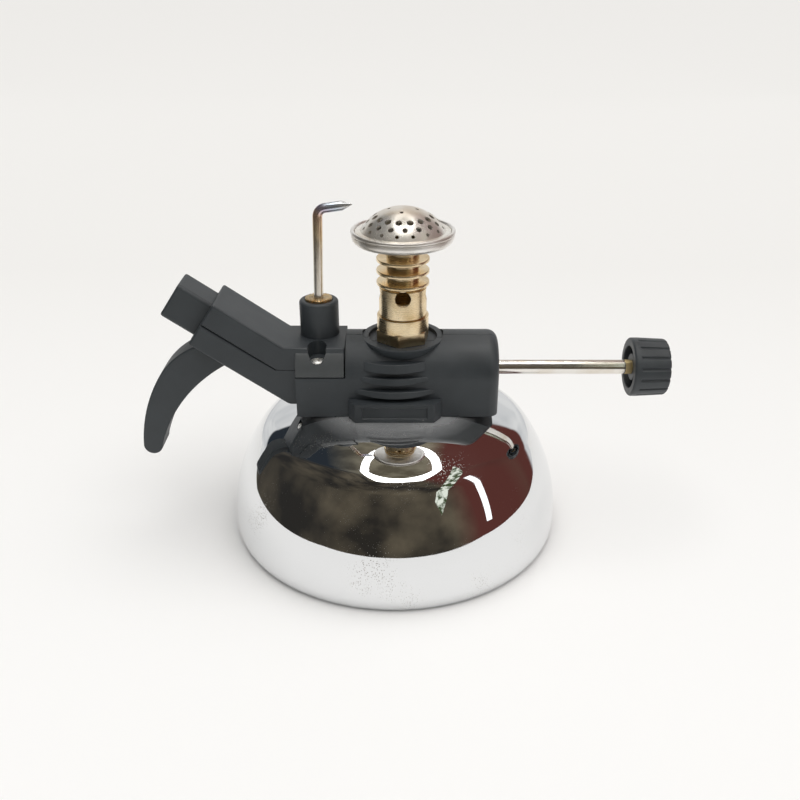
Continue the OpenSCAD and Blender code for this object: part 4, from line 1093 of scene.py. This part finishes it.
# %% Finishes of the inner pieces
white_plastic = new_finish("natural_plastic", (0.80, 0.80, 0.76), 0, 0.42)
flow = mottle(white_plastic, 300, 3, (0.74, 0.74, 0.69), (0.84, 0.84, 0.81))
rough_by(white_plastic, flow, 0.36, 0.5)
grey_plastic = new_finish("igniter_grey", (0.12, 0.12, 0.13), 0, 0.45)
speckle = mottle(grey_plastic, 1200, 3, (0.10, 0.10, 0.11), (0.14, 0.14, 0.15))
relief(grey_plastic, speckle, 0.02, 0.3)
red_jacket = new_finish("lead_insulation", (0.42, 0.05, 0.04), 0, 0.4)
mottle(red_jacket, 500, 3, (0.36, 0.035, 0.03), (0.48, 0.07, 0.05))
copper = new_finish("bare_copper", (0.72, 0.36, 0.2), 1, 0.25)
mottle(copper, 700, 4, (0.78, 0.40, 0.24), (0.44, 0.20, 0.11))
fibre = new_finish("wick_fibre", (0.82, 0.79, 0.70), 0, 0.9)
strands = mottle(fibre, 1, 3, (0.66, 0.62, 0.52), (0.88, 0.86, 0.79), (4000, 4000, 300))
relief(fibre, strands, 0.1, 0.6)
print("five finishes for the inner pieces")

# %% Assign them
INNER = {
    brass: ("tank_neck", "wick_tube", "refill_body", "valve_body", "valve_needle", "gland_nut", "gas_jet"),
    rubber: ("refill_seal", "rod_seal"), white_plastic: ("refill_stem", "piezo_plunger"),
    grey_plastic: ("piezo_body",), red_jacket: ("ignition_lead",), copper: ("earth_wire",),
    fibre: ("gas_wick",),
}
for finish, nodes in INNER.items():
    for node in nodes:
        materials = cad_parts[node].data.materials
        materials.clear()
        materials.append(finish)
    print(finish.name, "on", ", ".join(nodes))

# %% [markdown]
# ## The table and the room
# The burner stands on white paper that fills the picture. Its metal also shows the room round the table,
# which the camera doesn't see. A real room would darken the background in other views, so a painted room
# is built that only reflections meet. Its walls stand where the paper ends.

# %% Floor
clear_selection()
bpy.ops.mesh.primitive_circle_add(vertices=128, radius=5, fill_type="NGON")
floor = bpy.context.object
floor.name = "white_paper"
paper = new_finish("white_paper", (0.93, 0.93, 0.92), 0, 0.9)
pulp = noise(paper, 9, 3)
near_paper = tint(paper, pulp, (0.95, 0.95, 0.945), (0.97, 0.97, 0.965))
# Painted shade: the paper is painted darker towards the back, standing in for the light falling off there.
painted_falloff_to_back = spread(paper, axes(paper)["Y"], -0.06, 0.2, 0, 1)
colour_by(paper, painted_falloff_to_back, near_paper, (0.865, 0.86, 0.845))
floor.data.materials.append(paper)
print("paper is", floor.dimensions.x, "m across")


# %% Painted room
def only_in_reflections(piece):
    for ray in ("camera", "diffuse", "transmission", "volume_scatter", "shadow"):
        setattr(piece, "visible_" + ray, False)


def glow(name, colour, strength):
    finish = bpy.data.materials.new(name)
    finish.use_nodes = True
    tree = finish.node_tree
    tree.nodes.remove(tree.nodes["Principled BSDF"])
    light = tree.nodes.new("ShaderNodeEmission")
    light.inputs["Color"].default_value = (*colour, 1)
    light.inputs["Strength"].default_value = strength
    tree.links.new(light.outputs["Emission"], tree.nodes["Material Output"].inputs["Surface"])
    return finish


PAPER_EDGE = [
    (-125, -140), (-70, -175), (-13, -188), (45, -180), (110, -160), (205, -140), (215, -50), (185, 30),
    (215, 90), (430, 330), (430, 800), (-520, 800), (-520, 330), (-262, 135), (-150, 30), (-135, -55)
]
room = slab("painted_room", PAPER_EDGE, "Z", -5, 700)
paint = glow("room_paint", (0.1, 0.085, 0.06), 1.0)
where = axes(paint)
blotches = noise(paint, 9, 5)
blotched = spread(paint, blotches, 0.38, 0.66)
dim = tint(paint, blotched, (0.028, 0.025, 0.021), (0.13, 0.108, 0.075))
pale = tint(paint, blotched, (0.11, 0.095, 0.066), (0.27, 0.24, 0.175))
brown = tint(paint, spread(paint, where["Z"], 0.52, 0.7), dim, pale)
red_side = spread(paint, where["X"], 0.12, 0.2)
red_wall = tint(paint, red_side, brown, (0.11, 0.036, 0.03))
left_side = spread(paint, where["X"], -0.11, -0.3)
walls = tint(paint, left_side, red_wall, (0.024, 0.03, 0.038))
aside = maths(paint, "ABSOLUTE", where["X"], 0)
behind = maths(paint, "SUBTRACT", where["Y"], maths(paint, "MULTIPLY", aside, 0.45))


def under_slope(slope):
    top = maths(paint, "MULTIPLY", behind, slope)
    return spread(paint, maths(paint, "SUBTRACT", top, where["Z"]), -0.015, 0.015)


near_middle = maths(paint, "SUBTRACT", maths(paint, "MULTIPLY", where["Y"], 0.42), aside)
in_middle = spread(paint, near_middle, -0.01, 0.01)
beam_there = maths(paint, "MULTIPLY", under_slope(1.25), in_middle)
with_beam = tint(paint, beam_there, walls, (0.34, 0.2, 0.05))
smears = noise(paint, 1, 2, (2, 2, 5))
smeared = spread(paint, smears, 0.35, 0.65)
far_paper = tint(paint, smeared, (0.60, 0.61, 0.62), (0.80, 0.80, 0.79))
all_paint = tint(paint, under_slope(0.95), with_beam, far_paper)
feed(paint, "Color", all_paint, "Emission")
room.data.materials.append(paint)
only_in_reflections(room)
print("room outline has", len(PAPER_EDGE), "corners")

# %% [markdown]
# ## Lamps
# A ring lamp over the table and two windows on the right are seen as bright shapes in the chrome. The even
# light itself comes from a pale sky and a very soft sun overhead.

# %% Ring lamp and windows
def oval(centre, half_x, half_y):
    return [(centre[0] + half_x * x, centre[1] + half_y * y) for x, y in arc((0, 0), 1, 0, 358, 179)]


ring_lamp = slab("ring_lamp", oval((23, 61), 154, 350), "Z", 600, 610)
cut(ring_lamp, slab("ring_middle", oval((20, 140), 116, 205), "Z", 590, 620))
ring_lamp.data.materials.append(glow("ring_glow", (1.0, 0.99, 0.97), 4.0))
only_in_reflections(ring_lamp)
window = points_to_mesh("window", [(120, -62, 150), (127, -48, 148), (176, -89, 25), (169, -101, 27)], True)
window.data.materials.append(glow("window_glow", (1.0, 1.0, 1.0), 1.6))
only_in_reflections(window)
garden_corners = [(64, 31, 175), (104, -26, 167), (97, -162, 78), (84, -154, 107)]
garden_window = points_to_mesh("garden_window", garden_corners, True)
garden_glow = glow("garden_glow", (0.8, 0.9, 0.7), 0.9)
leaves = noise(garden_glow, 70, 3)
leafy = spread(garden_glow, leaves, 0.44, 0.56)
daylight = tint(garden_glow, leafy, (0.07, 0.1, 0.045), (1.0, 1.05, 0.92))
feed(garden_glow, "Color", daylight, "Emission")
garden_window.data.materials.append(garden_glow)
only_in_reflections(garden_window)
print("ring lamp", ring_lamp.dimensions, "window", window.dimensions)

# %% Sky and sun
clear_selection()
bpy.ops.object.light_add(type="SUN", location=(0, 0, 1), rotation=(0.1, 0.15, 0))
soft_sun = bpy.context.object
soft_sun.data.angle = math.radians(75)
soft_sun.data.energy = 2.15
soft_sun.data.color = (1.0, 0.985, 0.965)
SKY = 0.34
world = bpy.data.worlds.new("pale_sky")
bpy.context.scene.world = world
world.use_nodes = True
sky = world.node_tree.nodes["Background"].inputs
sky["Color"].default_value = (1.0, 0.995, 0.99, 1)
sky["Strength"].default_value = SKY
bpy.context.scene.view_settings.view_transform = "Standard"
print("sun", soft_sun.data.energy, "sky", SKY)
